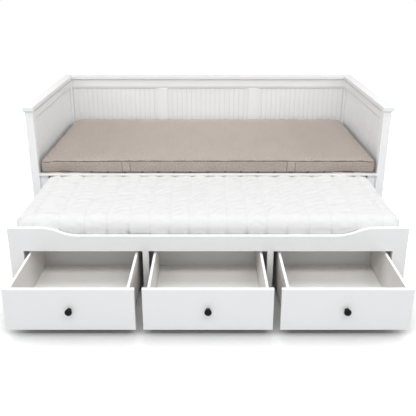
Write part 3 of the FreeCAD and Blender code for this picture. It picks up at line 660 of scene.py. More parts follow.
# the drawers' side and back foils, darker than the bottom's: painted shade inside the drawers, darkest on the
# back
SHADED_WALL_FOILS = {"sides": (0.690, 0.665, 0.642), "back": (0.60, 0.60, 0.588)}
BOTTOM_FOIL = Foil("foil_bottom", (0.93, 0.928, 0.912))
PINE = Pine("slat_pine", PINE_TONE)
PINE_ACROSS = Pine("bearer_pine", PINE_TONE, grain=Grain.X)
POWDER = Coating(
    "rail_powder_coat", (0.88, 0.89, 0.90), grit_scales=(480.0, 480.0, 480.0), grit_detail=1.5,
    grit_depth=0.09 * MM, grit_sheen=0.12, cloud_scale=6.0, cloud_detail=1.0, sheen_level=0.30)
ZINC = Coating(
    "zinc_plate", (0.62, 0.63, 0.65), dark=0.82, light=1.1, grit_scales=(900.0, 14.0, 900.0),
    grit_depth=0.03 * MM, grit_sheen=0.12, cloud_scale=45.0, cloud_detail=4.0, cloud_sheen=0.18,
    sheen_level=0.26, metal=1.0)
GLIDE = Coating("glide_plastic", (0.72, 0.72, 0.71), dark=0.9, light=1.1)
COVER = WovenCover("taupe_weave", (0.425, 0.362, 0.318))
TICKING = Ticking("white_ticking", (0.752, 0.752, 0.752))
THREAD = Thread("taupe_thread", (0.05, 0.042, 0.037))
KNOB_BLACK = (0.0045, 0.0038, 0.0033)
WHEEL_GREY = (0.14, 0.14, 0.145)


# Modelling helpers


def deselect_all() -> None:
    """Leaves object mode with nothing selected and nothing active."""
    if bpy.context.object and bpy.context.object.mode != "OBJECT":
        bpy.ops.object.mode_set(mode="OBJECT")
    bpy.ops.object.select_all(action="DESELECT")
    bpy.context.view_layer.objects.active = None


def choose(piece: Piece) -> None:
    """Makes a piece the only selected and the active one."""
    deselect_all()
    piece.select_set(True)
    bpy.context.view_layer.objects.active = piece


def apply_modifiers(piece: Piece) -> None:
    """Applies every modifier of a piece in order."""
    choose(piece)
    for name in [modifier.name for modifier in piece.modifiers]:
        bpy.ops.object.modifier_apply(modifier=name)


def settle(piece: Piece) -> None:
    """Moves a piece's place into its mesh, so that its object sits at the origin."""
    choose(piece)
    bpy.ops.object.transform_apply(location=True, rotation=True, scale=True)


def select_faces(piece: Piece, wanted: Callable[[bpy.types.MeshPolygon], bool]) -> None:
    """Selects those faces of the piece that are wanted, and opens it for editing in face mode."""
    choose(piece)
    bpy.ops.object.mode_set(mode="EDIT")
    bpy.ops.mesh.select_mode(type="FACE")
    bpy.ops.mesh.select_all(action="DESELECT")
    bpy.ops.object.mode_set(mode="OBJECT")
    for face in piece.data.polygons:
        face.select = wanted(face)
    bpy.ops.object.mode_set(mode="EDIT")


def new_piece(
        name: str, points: Sequence[Sequence[float]], faces: Sequence[Sequence[int]]) -> Piece:
    """A mesh object from points and faces.

    Args:
        name: name of the piece.
        points: its corners, in metres, in the frame.
        faces: corner numbers of each face, seen from outside.

    Returns:
        The new object.
    """
    mesh = bpy.data.meshes.new(name)
    mesh.from_pydata([tuple(point) for point in points], [], faces)
    mesh.update()
    piece = bpy.data.objects.new(name, mesh)
    bpy.context.scene.collection.objects.link(piece)
    return piece


def join_all(pieces: Sequence[Piece], name: str) -> Piece:
    """Joins several objects into one piece of the given name."""
    choose(pieces[0])
    for piece in pieces:
        piece.select_set(True)
    bpy.ops.object.join()
    joined = bpy.context.object
    joined.name = name
    joined.data.name = name
    return joined


def copy_of(piece: Piece, name: str) -> Piece:
    """A copy of an object with a mesh of its own."""
    twin = piece.copy()
    twin.data = piece.data.copy()
    twin.name = name
    bpy.context.scene.collection.objects.link(twin)
    return twin


def finish_piece(piece: Piece, body: str, finish: Finish) -> Piece:
    """Gives a new piece its material and its body, and reports it."""
    piece.data.materials.clear()
    piece.data.materials.append(finish.material())
    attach(piece, body)
    log.info("made %s: %d faces, rides on %s", piece.name, len(piece.data.polygons), body)
    return piece


def dress(node: str, finish: Finish) -> None:
    """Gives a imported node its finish."""
    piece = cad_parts[node]
    for place in piece.material_slots:
        place.material = finish.material()
    log.info("dressed %s in %s", node, finish.title)


def dress_all(finish: Finish, *nodes: str) -> None:
    """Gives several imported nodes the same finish."""
    for node in nodes:
        dress(node, finish)


def centre_of(node: str) -> Vector:
    """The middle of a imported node's box."""
    low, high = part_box(node)
    return (low + high) / 2


def pulse(value: float, middle: float, reach: float) -> float:
    """A smooth bump: 1 at the middle, falling to nothing over about the reach on either side."""
    return math.exp(-((value - middle) / reach) ** 2)


def ease(value: float, start: float, end: float) -> float:
    """0 before start, 1 after end and smooth between."""
    share = min(1.0, max(0.0, (value - start) / (end - start)))
    return share * share * (3.0 - 2.0 * share)


def zone(value: float, base: float, reach: Pair) -> float:
    """0 before the first distance from a base, 1 after the second and smooth between."""
    return ease(value, base + reach[0], base + reach[1])


def bumps(value: float, rows: Sequence[Triple]) -> float:
    """Smooth bumps added up, each given by its height, its middle and its reach."""
    return sum(height * pulse(value, middle, reach) for height, middle, reach in rows)


def kept_within(place: Vector, low: Sequence[float], high: Sequence[float]) -> Vector:
    """The place, moved to the nearest point of a box if it lies outside the box."""
    return Vector([min(top, max(bottom, part)) for part, bottom, top in zip(place, low, high)])


@dataclass(frozen=True)
class Drift:
    """Smooth noise: its height, how fast it changes along each axis, and its seed."""

    height: float
    scales: Triple
    seed: float

    def at(self, x: float, y: float = 0.0, z: float = 0.0) -> float:
        """Its value at a place."""
        along, across, up = self.scales
        return noise.noise(Vector((x * along, y * across, z * up + self.seed))) * self.height


# Padded pieces


@dataclass
class Cushion:
    """A padded block on a regular lattice of quads: rounded corners in plan, rolled edges, crown.

    Lengths are in metres. The lattice's lines lie at chosen places, so that seams and sewn
    channels follow whole rows of its points.
    """

    name: str
    low: Vector
    high: Vector
    columns: list[float]
    rows: list[float]
    levels: list[float]
    corner: float
    rear_corner: float
    under_roll: float
    top_roll: float = 0.0
    end_roll: float = 0.0
    draw: float = 0.0
    draw_reach: float = 0.13

    def __post_init__(self) -> None:
        """Works out the middle and the half lengths."""
        self.middle = (self.low + self.high) / 2
        self.half = (self.high - self.low) / 2
        self.thickness = self.high.z - self.low.z
        self.keys: list[tuple[int, int, int]] = []
        self.points: list[Vector] = []

    def _plan(self, x: float, y: float) -> tuple[Vector, Vector]:
        """A lattice place rounded in plan.

        Args:
            x: place along the length from the middle.
            y: place across the depth from the middle.

        Returns:
            The rounded place and the direction that points inwards there.
        """
        sign_x = math.copysign(1.0, x)
        sign_y = math.copysign(1.0, y)
        corner = self.rear_corner if y > 0 else self.corner
        core_x = self.half.x - corner
        core_y = self.half.y - corner
        over_x = abs(x) - core_x
        over_y = abs(y) - core_y
        if over_x > 0 and over_y > 0:
            span = math.hypot(over_x, over_y)
            reach = max(over_x, over_y)
            out = Vector((over_x / span * sign_x, over_y / span * sign_y, 0))
            return Vector((core_x * sign_x, core_y * sign_y, 0)) + out * reach, -out
        if self.half.x - abs(x) < self.half.y - abs(y):
            return Vector((x, y, 0)), Vector((-sign_x, 0, 0))
        return Vector((x, y, 0)), Vector((0, -sign_y, 0))

    @staticmethod
    def _rolled(edge: float, height: float, radius: float) -> Pair:
        """How far a point near an edge moves in, and up or down, to follow a round roll.

        Args:
            edge: distance of the point in from the outer side.
            height: distance of the point from the level face.
            radius: radius of the roll.

        Returns:
            The new distances.
        """
        on_side = edge < ON_SIDE
        if radius <= 0 or (not on_side and edge >= radius) or (on_side and height >= radius):
            return edge, height
        turn = height / radius if on_side else -edge / radius
        angle = math.pi / 4 * (1 + turn)
        return radius * (1 - math.sin(angle)), radius * (1 - math.cos(angle))

    def shaped(self, x: float, y: float, level: float) -> Vector:
        """The place of a lattice point in the frame."""
        to_end, to_side = self.half.x - abs(x), self.half.y - abs(y)
        edge = min(to_end, to_side)
        depth = level * self.thickness
        side_share = ease(to_end - to_side, -self.corner, self.corner)
        top_roll = self.end_roll + (self.top_roll - self.end_roll) * side_share
        inward, height = edge, depth
        if depth < self.under_roll:
            inward, height = self._rolled(edge, depth, self.under_roll)
        elif top_roll > 0 and depth > self.thickness - top_roll:
            inward, below = self._rolled(edge, self.thickness - depth, top_roll)
            height = self.thickness - below
        place, inner = self._plan(x, y)
        run_x = 1 - (x / self.half.x) ** 2
        run_y = 1 - (y / self.half.y) ** 2
        pull = self.draw * (run_x if abs(inner.y) > abs(inner.x) else run_y)
        pull *= max(0.0, 1 - edge / self.draw_reach)
        place = place + inner * (inward - edge + pull)
        return self.middle + Vector((place.x, place.y, self.low.z + height - self.middle.z))

    def build(self) -> Piece:
        """Makes the closed mesh, with its faces turned outwards."""
        counts = (len(self.columns) - 1, len(self.rows) - 1, len(self.levels) - 1)
        numbers: dict[tuple[int, int, int], int] = {}
        for i, j, k in product(*(range(count + 1) for count in counts)):
            if i in (0, counts[0]) or j in (0, counts[1]) or k in (0, counts[2]):
                numbers[(i, j, k)] = len(self.keys)
                self.keys.append((i, j, k))
                self.points.append(self.shaped(self.columns[i], self.rows[j], self.levels[k]))
        faces = []
        for axis, at_end in product(range(3), (False, True)):
            first, second = [other for other in range(3) if other != axis]
            outwards = at_end != (axis == 1)
            for p, q in product(range(counts[first]), range(counts[second])):
                corners = []
                for step_p, step_q in ((0, 0), (1, 0), (1, 1), (0, 1)):
                    key = [0, 0, 0]
                    key[axis] = counts[axis] if at_end else 0
                    key[first] = p + step_p
                    key[second] = q + step_q
                    corners.append(numbers[tuple(key)])
                faces.append(corners if outwards else corners[::-1])
        return new_piece(self.name, self.points, faces)

    def on_rim(self, i: int, j: int, k: int) -> bool:
        """Whether a lattice point lies on the edge of the top."""
        on_side = i in (0, len(self.columns) - 1) or j in (0, len(self.rows) - 1)
        return on_side and k == len(self.levels) - 1

    def mark(self, piece: Piece, name: str, share: Callable[[int, int, int], float]) -> None:
        """Gives each lattice point a value, which later subdivision spreads between the points."""
        set_marks(piece, name, [share(*key) for key in self.keys])

    def mark_cloth(self, piece: Piece) -> None:
        """Marks the place of each lattice point on the cover, laid flat with its sides folded out."""
        def hang(number: int, last: int, k: int) -> float:
            """How far a point on a side lies beyond the edge of the top."""
            return (1 - self.levels[k]) * self.thickness * ((number == last) - (number == 0))

        ends = len(self.columns) - 1, len(self.rows) - 1
        self.mark(piece, ALONG_MARK, lambda i, j, k: self.columns[i] + hang(i, ends[0], k))
        self.mark(piece, ACROSS_MARK, lambda i, j, k: self.rows[j] + hang(j, ends[1], k))


@dataclass(frozen=True)
class Inflation:
    """A cloth simulation that blows a cover up, and leaves the result in its mesh.

    The cap is the furthest that a point may move, in metres. The growth is the share by which
    the cloth is cut larger than the shape.
    """

    cap: float
    growth: float
    pressure: float = 4.0
    stiffness: float = 15.0
    shear_softness: float = 3.0
    bending: float = 0.6
    mass: float = 0.3
    damping: float = 2.0
    quality: int = 6
    last_frame: int = 20

    def _set(self, settings: bpy.types.ClothSettings, held_group: str) -> None:
        """Writes the cloth's settings."""
        values = {
            "quality": self.quality,
            "mass": self.mass,
            "tension_stiffness": self.stiffness,
            "compression_stiffness": self.stiffness,
            "shear_stiffness": self.stiffness / self.shear_softness,
            "bending_stiffness": self.bending,
            "air_damping": self.damping,
            "use_pressure": True,
            "uniform_pressure_force": self.pressure,
            "shrink_min": -self.growth,
            "shrink_max": -self.growth,
            "vertex_group_mass": held_group,
            "pin_stiffness": 1.0,
        }
        for name, value in values.items():
            setattr(settings, name, value)
        settings.effector_weights.gravity = 0.0

    def run(self, piece: Piece, held: Sequence[float]) -> None:
        """Blows a closed mesh up, each of its points held as firmly as its number from 0 to 1 says."""
        start = [vertex.co.copy() for vertex in piece.data.vertices]
        group = piece.vertex_groups.new(name="held")
        for number, weight in enumerate(held):
            if weight > 0:
                group.add([number], weight, "REPLACE")
        choose(piece)
        cloth = piece.modifiers.new("Cloth", "CLOTH")
        self._set(cloth.settings, group.name)
        cloth.collision_settings.use_collision = False
        scene = bpy.context.scene
        for number in range(1, self.last_frame + 1):
            scene.frame_set(number)
        bpy.ops.object.modifier_apply(modifier=cloth.name)
        scene.frame_set(1)
        for vertex, before in zip(piece.data.vertices, start):
            step = vertex.co - before
            if step.length > self.cap:
                vertex.co = before + step.normalized() * self.cap
        piece.vertex_groups.clear()


def refine(piece: Piece) -> None:
    """Subdivides a piece once and shades it smooth."""
    finer = piece.modifiers.new("Subdivision", "SUBSURF")
    finer.levels = 1
    finer.render_levels = 1
    apply_modifiers(piece)
    bpy.ops.object.shade_smooth()


def reshape(
        piece: Piece, moved: Callable[..., Vector], marks: Sequence[float] | None = None) -> None:
    """Moves every point of a piece.

    Args:
        piece: the piece.
        moved: gives the new place from the place, the normal and, where there are marks, the mark.
        marks: a value for each point.
    """
    normals = [vertex.normal.copy() for vertex in piece.data.vertices]
    extra = [(mark,) for mark in marks] if marks else [()] * len(normals)
    for vertex, normal, more in zip(piece.data.vertices, normals, extra):
        vertex.co = moved(vertex.co.copy(), normal, *more)
    piece.data.update()


def marks_of(piece: Piece, name: str) -> list[float]:
    """The values that a piece carries at its points under a name."""
    return [item.value for item in piece.data.attributes[name].data]


def set_marks(piece: Piece, name: str, values: Sequence[float]) -> None:
    """Writes the values that a piece carries at its points under a name."""
    layer = piece.data.attributes.get(name) or piece.data.attributes.new(name, "FLOAT", "POINT")
    for item, value in zip(layer.data, values):
        item.value = value


def lay_cloth_map(piece: Piece, places: Sequence[Pair]) -> None:
    """A UV map in metres, from the place of each point on the flat cloth."""
    layer = piece.data.uv_layers.new(name=CLOTH_MAP)
    for face in piece.data.polygons:
        for corner, vertex in zip(face.loop_indices, face.vertices):
            layer.data[corner].uv = places[vertex]


def lay_cushion_map(piece: Piece) -> None:
    """A UV map in metres that runs on from a cushion's top down its sides, from its marks."""
    lay_cloth_map(piece, list(zip(marks_of(piece, ALONG_MARK), marks_of(piece, ACROSS_MARK))))
    for name in (ALONG_MARK, ACROSS_MARK):
        piece.data.attributes.remove(piece.data.attributes[name])


def even_places(start: float, end: float, step: float) -> list[float]:
    """Places from start to end, as evenly spaced as the step allows."""
    count = max(1, round((end - start) / step))
    return [start + (end - start) * number / count for number in range(count + 1)]


@dataclass
class UpperMattress:
    """The thin mattress of the bed in its fitted taupe cover, with a seam round its top edge.

    Heights, depths and places are in metres. A zone is a pair of distances from an edge between
    which an effect grows. Dips, lifts and tucks are given by height, middle and reach.
    """

    node: str = "upper_mattress"
    name: str = "upper_mattress_cover"
    body: str = "daybed_frame"
    slot: str = "taupe_cover"
    inflation: Inflation = Inflation(cap=0.008, growth=0.006)

    lattice_step: float = 0.0125
    seam_rows: float = 0.0048
    foot_levels: tuple[float, ...] = (0.0, 0.06, 0.12)
    side_levels: Triple = (0.2, 0.88, 0.14)
    shrink: float = 0.001
    corner: float = 0.008
    rear_corner: float = 0.050
    under_roll: float = 0.005
    draw: float = 0.0035

    crown: float = 0.009
    crown_share: float = 0.35
    swell: Drift = Drift(0.0016, (3.1, 4.3, 0.0), 2.0)
    small_swell: Drift = Drift(0.0009, (8.5, 6.0, 0.0), 7.0)
    crease_height: float = 0.0019
    crease_rate: float = 95.0
    crease_reach: float = 0.11
    crease_wander: Drift = Drift(5.0, (9.0, 9.0, 0.0), 0.0)
    fold_height: float = 0.0013
    fold_rate: float = 60.0
    fold_slant: float = 0.5
    fold_wander: Drift = Drift(4.0, (5.0, 5.0, 0.0), 4.0)
    edge_reach: float = 0.05
    side_ripple: Drift = Drift(0.0016, (9.0, 9.0, 24.0), 0.0)
    top_zone: Pair = (-0.002, 0.003)
    side_zone: Pair = (0.008, 0.03)

    seam_drop: float = 0.007
    seam_depth: float = 0.0055
    seam_falloff: float = 1.5
    seam_wave: Drift = Drift(0.0018, (6.0, 6.0, 0.0), 11.0)
    seam_ripple: Drift = Drift(0.0007, (23.0, 23.0, 0.0), 12.0)
    seam_dips: tuple = ((0.006, -0.95, 0.03), (0.002, -0.72, 0.1), (0.005, 0.955, 0.035))
    seam_band: float = 0.05
    seam_fade: float = 0.04
    front_zone: Pair = (-0.03, -0.008)

    hem_height: float = 0.03
    hem_lifts: tuple = ((0.008, -0.872, 0.055), (0.006, 0.813, 0.075))
    hem_tucks: tuple = ((0.017, -0.85, 0.12), (0.015, 0.84, 0.12))
    tuck_unevenness: float = 0.0035
    tuck_drift: Drift = Drift(1.0, (4.5, 0.0, 0.0), 17.0)
    tuck_top: float = 0.012
    tuck_fade: float = 0.055
    notch_pitch: float = 0.0986
    notch_width: float = 0.07
    notch_lift: float = 0.0020
    notch_wander: Drift = Drift(0.12, (4.0, 0.0, 0.0), 31.0)

    # painted shade carried by the seam mark: the sewn seam, the shadow under the hem and its notches, and the
    # darker border below the seam
    painted_seam_shade: float = 2.2
    seam_narrowing: float = 1.4
    border_shade: float = 0.07
    hem_shadow: float = 0.72
    hem_line: float = 0.013
    line_fade: float = 0.006
    notch_shadow: float = 0.5
    notch_line: float = 0.017
    notch_fade: float = 0.004
    front_line: float = 0.02
    front_fade: float = 0.012

    end_room: float = 0.003
    side_room: float = 0.0085
    slat_room: float = 0.0002

    band_middles: Pair = (-0.482, 0.489)
    band_width: float = 0.054
    band_foot: float = 0.013
    band_head: float = 0.005
    band_lean: float = 0.004
    band_step: float = 0.006
    band_thickness: float = 0.0018
    band_rise: float = 0.0010
    band_rim: float = 0.003
    band_lift: float = 0.0004
    stitch_inset: float = 0.003
    stitch_pitch: float = 0.0085
    stitch_length: float = 0.0058
    stitch_radius: float = 0.0018
    stitch_sides: int = 6
    stitch_dive: float = 0.0006
    ray_start: float = 0.1

    def __post_init__(self) -> None:
        """Reads the room that the node holds."""
        self.low, self.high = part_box(self.node)
        self.half = (self.high - self.low) / 2
        self.middle = (self.low + self.high) / 2
        self.seam_height = self.high.z - self.seam_drop
        self.band_low = self.low.z + self.band_foot
        self.band_high = self.seam_height - self.band_head

    def _lines(self, half: float) -> list[float]:
        """The lattice's lines over a length, with one close to each edge for the seam."""
        step, near = self.lattice_step, self.seam_rows
        return [-half, near - half] + even_places(step - half, half - step, step) + [half - near, half]

    def _lattice(self) -> Cushion:
        """The cover before it is blown up: a slightly smaller block with its seam at the top edge."""
        low = self.low + Vector((0, self.shrink, 0))
        high = Vector((self.high.x, self.high.y - self.shrink, self.seam_height))
        half = (high - low) / 2
        near_share = self.seam_rows / (high.z - low.z)
        levels = [*self.foot_levels, *even_places(*self.side_levels), 1 - near_share, 1.0]
        return Cushion(
            self.name, low, high, self._lines(half.x), self._lines(half.y), levels,
            corner=self.corner, rear_corner=self.rear_corner, under_roll=self.under_roll, draw=self.draw)

    def _inwards(self, place: Vector) -> Pair:
        """How far a place lies in from the nearer end and from the nearer side."""
        to_end = self.half.x - abs(place.x - self.middle.x)
        return to_end, self.half.y - abs(place.y - self.middle.y)

    def _relaxed(self, place: Vector, normal: Vector) -> Vector:
        """The slow unevenness of a cover that has been sat on: soft swells, creases at the corners."""
        x, y = place.x - self.middle.x, place.y - self.middle.y
        inwards = self._inwards(place)
        edge = min(inwards)
        corner = math.hypot(*inwards)
        top = zone(place.z, self.seam_height, self.top_zone)
        swell = self.swell.at(x, y) + self.small_swell.at(x, y)
        crease = math.sin(corner * self.crease_rate + self.crease_wander.at(x, y))
        swell += crease * self.crease_height * math.exp(-corner / self.crease_reach)
        fold = math.sin((x + y * self.fold_slant) * self.fold_rate + self.fold_wander.at(x, y))
        swell += fold * self.fold_height * math.exp(-edge / self.edge_reach)
        crowned = self.crown * (1 - math.exp(-max(0.0, edge) / self.edge_reach)) * self.crown_share
        moved = place + Vector((0, 0, (swell + crowned) * top))
        side = (1 - top) * zone(place.z, self.low.z, self.side_zone)
        return moved + normal * self.side_ripple.at(x, y, place.z) * side

    def _notch(self, x: float) -> float:
        """1 at a notch of the hem and 0 between two of them."""
        place = x / self.notch_pitch + self.notch_wander.at(x)
        return pulse(place - round(place), 0.0, self.notch_width)

    def _sewn(self, place: Vector, normal: Vector, seam: float) -> Vector:
        """Draws the seam in, dips it near the front corners and lifts the hem near both ends."""
        edge = min(self._inwards(place))
        near_front = zone(self.middle.y - place.y, self.half.y, self.front_zone)
        dip = bumps(place.x, self.seam_dips)
        wave = self.seam_wave.at(place.x, place.y) + self.seam_ripple.at(place.x, place.y)
        share = ease(place.z, self.low.z + self.hem_height, self.seam_height)
        share *= ease(self.seam_band - edge, 0.0, self.seam_fade)
        place = place + Vector((0, 0, (wave - dip * near_front) * share))
        groove = self.seam_depth * seam ** self.seam_falloff
        lift = bumps(place.x, self.hem_lifts) + self.notch_lift * (1.0 - self._notch(place.x))
        hem = max(0.0, 1 - (place.z - self.low.z) / self.hem_height) * near_front
        tuck = bumps(place.x, self.hem_tucks) + self.tuck_unevenness * (0.5 + self.tuck_drift.at(place.x))
        tuck *= ease(self.seam_height - self.tuck_top - place.z, 0.0, self.tuck_fade) * near_front
        return place - normal * groove + Vector((0, tuck, lift * hem))

    def _painted_cover_shade(self, place: Vector, seam: float) -> float:
        """Painted shade of the cover at a point: sewn seam, hem and its notches, and the border."""
        front = ease(self.low.y + self.front_line - place.y, 0.0, self.front_fade)
        rise = place.z - self.low.z
        hem = self.hem_shadow * ease(self.hem_line - rise, 0.0, self.line_fade)
        hem += self.notch_shadow * self._notch(place.x) * ease(self.notch_line - rise, 0.0, self.notch_fade)
        border = self.border_shade * ease(self.seam_height - place.z, 0.0, self.line_fade)
        return min(1.0, self.painted_seam_shade * seam ** self.seam_narrowing + hem * front + border)

    def _kept_clear(self, place: Vector, _: Vector) -> Vector:
        """Keeps the cover off the slats, the posts and the back."""
        low = (self.low.x - self.end_room, self.low.y - self.side_room, self.low.z + self.slat_room)
        high = (self.high.x + self.end_room, self.high.y + self.side_room, math.inf)
        return kept_within(place, low, high)

    def cover(self) -> Piece:
        """Makes the cover: lattice, cloth, subdivision, then seams, wear and the painted shade at seam and
        hem.
        """
        lattice = self._lattice()
        piece = lattice.build()
        lattice.mark(piece, SEAM_AND_SHADE_MARK, lambda i, j, k: float(lattice.on_rim(i, j, k)))
        lattice.mark_cloth(piece)
        self.inflation.run(piece, [float(key[2] == 0 or lattice.on_rim(*key)) for key in lattice.keys])
        refine(piece)
        seam = marks_of(piece, SEAM_AND_SHADE_MARK)
        reshape(piece, self._relaxed)
        reshape(piece, self._sewn, seam)
        reshape(piece, self._kept_clear)
        # the seam mark now carries the painted shade
        set_marks(piece, SEAM_AND_SHADE_MARK, [self._painted_cover_shade(v.co, share) for v, share in zip(piece.data.vertices, seam)])
        lay_cushion_map(piece)
        finish_piece(piece, self.body, COVER)
        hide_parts(self.node)
        return piece

    def _lean(self, z: float, sign: int) -> float:
        """How far a band leans to the side at a height."""
        return self.band_lean * (z - self.band_low) / (self.band_high - self.band_low) * sign

    def _met(self, tree: BVHTree, x: float, z: float) -> Vector | None:
        """Where a line from the front first meets a surface."""
        return tree.ray_cast(Vector((x, self.low.y - self.ray_start, z)), Vector((0, 1, 0)))[0]

    def bands(self, cover: Piece) -> Piece:
        """The two bands sewn upright on the front border, laid on the cover's own surface."""
        tree = BVHTree.FromObject(cover, bpy.context.evaluated_depsgraph_get())
        across = even_places(-self.band_width / 2, self.band_width / 2, self.band_step)
        up = even_places(self.band_low, self.band_high, self.band_step)
        width = len(across)
        faces = [
            (a, a + 1, a + 1 + width, a + width)
            for row in range(len(up) - 1)
            for a in range(row * width, row * width + width - 1)
        ]
        strips = []
        for sign, middle in zip((-1, 1), self.band_middles):
            points = []
            for z, offset in product(up, across):
                x = middle + offset + self._lean(z, sign)
                edge = self.band_width / 2 - abs(offset)
                proud = self.band_rise * min(1.0, edge / self.band_rim) + self.band_lift
                points.append(Vector((x, self._met(tree, x, z).y - proud, z)))
            strips.append(new_piece(f"band_{sign}", points, faces))
        piece = join_all(strips, self.node + "_bands")
        wall = piece.modifiers.new("Solidify", "SOLIDIFY")
        wall.thickness = self.band_thickness
        wall.offset = -1.0
        apply_modifiers(piece)
        bpy.ops.object.shade_smooth()
        lay_cloth_map(piece, [(vertex.co.x, vertex.co.z) for vertex in piece.data.vertices])
        return finish_piece(piece, self.body, COVER)

    def stitches(self, bands: Piece) -> Piece:
        """Short thread stitches down both edges of each band."""
        tree = BVHTree.FromObject(bands, bpy.context.evaluated_depsgraph_get())
        made = []
        for (sign, middle), edge in product(zip((-1, 1), self.band_middles), (-1, 1)):
            x = middle + edge * (self.band_width / 2 - self.stitch_inset)
            z = self.band_low + self.stitch_inset
            while z < self.band_high - self.stitch_inset:
                met = self._met(tree, x + self._lean(z, sign), z)
                if met:
                    made.append(self._stitch(met))
                z += self.stitch_pitch
        piece = join_all(made, self.node + "_stitches")
        bpy.ops.object.shade_smooth()
        return finish_piece(piece, self.body, THREAD)

    def _stitch(self, place: Vector) -> Piece:
        """One stitch: a short thick thread whose ends dive into the cloth."""
        deselect_all()
        bpy.ops.mesh.primitive_cylinder_add(
            vertices=self.stitch_sides, radius=self.stitch_radius, depth=self.stitch_length,
            location=place, end_fill_type="NGON")
        stitch = bpy.context.object
        settle(stitch)
        for vertex in stitch.data.vertices:
            if abs(vertex.co.z - place.z) > self.stitch_length / 4:
                vertex.co.y += self.stitch_dive
        stitch.data.update()
        return stitch


@dataclass
class LowerMattress:
    """The quilted mattress of the pull-out bed, sewn in channels that run from front to rear.

    Lengths are in metres. A zone is a pair of distances from an edge, and a slope a pair of
    heights of the normal, between which an effect grows.
    """

    node: str = "lower_mattress"
    name: str = "lower_mattress_quilt"
    body: str = "lower_bed"
    slot: str = "quilted_white"
    inflation: Inflation = Inflation(cap=0.006, growth=0.008)

    channel_count: int = 18
    inner_pitch: float = 0.0952
    pitch_growth: float = 0.000208
    channel_rise: float = 0.0035
    column_step: float = 0.0145
    seam_lines: float = 0.0035
    row_step: float = 0.0106
    level_step: float = 0.09
    held_above: float = 0.4
    crown_room: float = 0.003
    corner: float = 0.012
    under_roll: float = 0.02
    front_roll: float = 0.056
    end_roll: float = 0.016

    stroke_pitch: float = 0.050
    stroke_depth: float = 0.0044
    stroke_middle: float = 0.10
    stroke_reach: float = 0.50
    stroke_slope: float = 0.75
    stroke_width: float = 0.24
    end_slope: float = 0.15
    least_strength: float = 0.05
    usual_strength: float = 0.55
    strength: Drift = Drift(1.3, (15.0, 14.0, 0.0), 3.0)
    jog: Drift = Drift(0.06, (3.7, 0.0, 0.0), 5.0)
    wander: Drift = Drift(0.022, (13.0, 9.0, 1.3), 0.0)
    seam_clear: float = 0.010

    top_slope: Pair = (0.3, 0.8)
    seam_slope: Pair = (-0.6, -0.1)
    line_slope: Pair = (-0.5, 0.0)
    front_zone: Pair = (0.02, 0.065)
    foot_zone: Pair = (0.04, 0.075)
    front_tuck: float = 0.005
    seam_depth: float = 0.0016
    seam_front_depth: float = 0.0012
    seam_width: float = 0.0075
    gather_pitch: float = 0.037
    gather_wander: Drift = Drift(3.5, (9.0, 0.0, 0.0), 1.0)
    fine_gather: float = 0.8
    fine_pitch: float = 0.021
    fine_wander: Drift = Drift(4.0, (15.0, 0.0, 0.0), 8.0)
    gather_drift: Drift = Drift(1.0, (6.0, 14.0, 0.0), 2.0)
    front_pucker: float = 0.0010
    foot_pucker: float = 0.0034
    lump: Drift = Drift(0.0016, (5.0, 8.0, 0.0), 20.0)
    small_lump: Drift = Drift(0.0009, (27.0, 24.0, 0.0), 21.0)
    sway: Drift = Drift(0.0045, (8.0, 6.5, 0.0), 40.0)

    # painted shade along the channel seams
    seam_line_shade: float = 0.13
    line_width: float = 0.0036
    front_line_loss: float = 0.4
    end_room: float = 0.001
    rear_room: float = 0.006
    board_gap: float = 0.0005
    top_room: float = 0.003
    slat_room: float = 0.0002

    def __post_init__(self) -> None:
        """Reads the room that the node holds, and sets out the channel seams."""
        self.low, self.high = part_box(self.node)
        half = (self.high.x - self.low.x) / 2
        inner = [self.inner_pitch * n + self.pitch_growth * n ** 3 for n in range(self.channel_count // 2)]
        self.seams = [-place for place in inner[:0:-1]] + inner
        self.edges = [-half] + self.seams + [half]

    def _lattice(self) -> Cushion:
        """The cover before it is blown up, its columns on the channel seams."""
        columns = [self.edges[0]]
        for start, end in zip(self.edges, self.edges[1:]):
            columns += even_places(start + self.seam_lines, end - self.seam_lines, self.column_step) + [end]
        half_y = (self.high.y - self.low.y) / 2
        rows = even_places(-half_y, half_y, self.row_step)
        levels = even_places(0.0, 1.0, self.level_step)
        high = Vector((self.high.x, self.high.y, self.high.z - self.crown_room))
        return Cushion(
            self.name, self.low, high, columns, rows, levels, corner=self.corner, rear_corner=self.corner,
            under_roll=self.under_roll, top_roll=self.front_roll, end_roll=self.end_roll)

    def _holds(self, lattice: Cushion) -> list[float]:
        """Holds the channel seams over the top and down the ends, and the whole underside."""
        on_seam = [any(abs(column - seam) < MM for seam in self.seams) for column in lattice.columns]
        return [
            float(k == 0 or (on_seam[i] and lattice.levels[k] > self.held_above))
            for i, _, k in lattice.keys
        ]

    def _channel(self, x: float) -> tuple[float, int]:
        """Distance to the nearest channel seam, and the number of the channel."""
        return min(abs(x - seam) for seam in self.seams), sum(x > seam for seam in self.seams)

    def _puffed(self, place: Vector, normal: Vector) -> Vector:
        """A channel's own rise, for the lattice before the cloth."""
        nearest, _ = self._channel(place.x)
        share = min(1.0, nearest / (self.inner_pitch / 2))
        up = max(0.0, normal.z)
        return place + Vector((0, 0, self.channel_rise * math.sin(share * math.pi / 2) * up))

    def _stroke(self, place: Vector) -> float:
        """How deep in a stroke of the fine quilting a point lies, from 0 to 1."""
        nearest, number = self._channel(place.x)
        along = (place.x - self.stroke_middle) / self.stroke_reach
        fan = self.stroke_slope * self.stroke_reach * math.sqrt(math.pi) / 2 * math.erf(along)
        shift = self.jog.at(number) + self.wander.at(place.x, place.y, number)
        phase = (place.y - fan - self.end_slope * place.x + shift) / self.stroke_pitch
        valley = pulse(phase - math.floor(phase), 0.5, self.stroke_width)
        strength = self.usual_strength + self.strength.at(place.x, place.y)
        return valley * min(1.0, max(self.least_strength, strength)) * min(1.0, nearest / self.seam_clear)

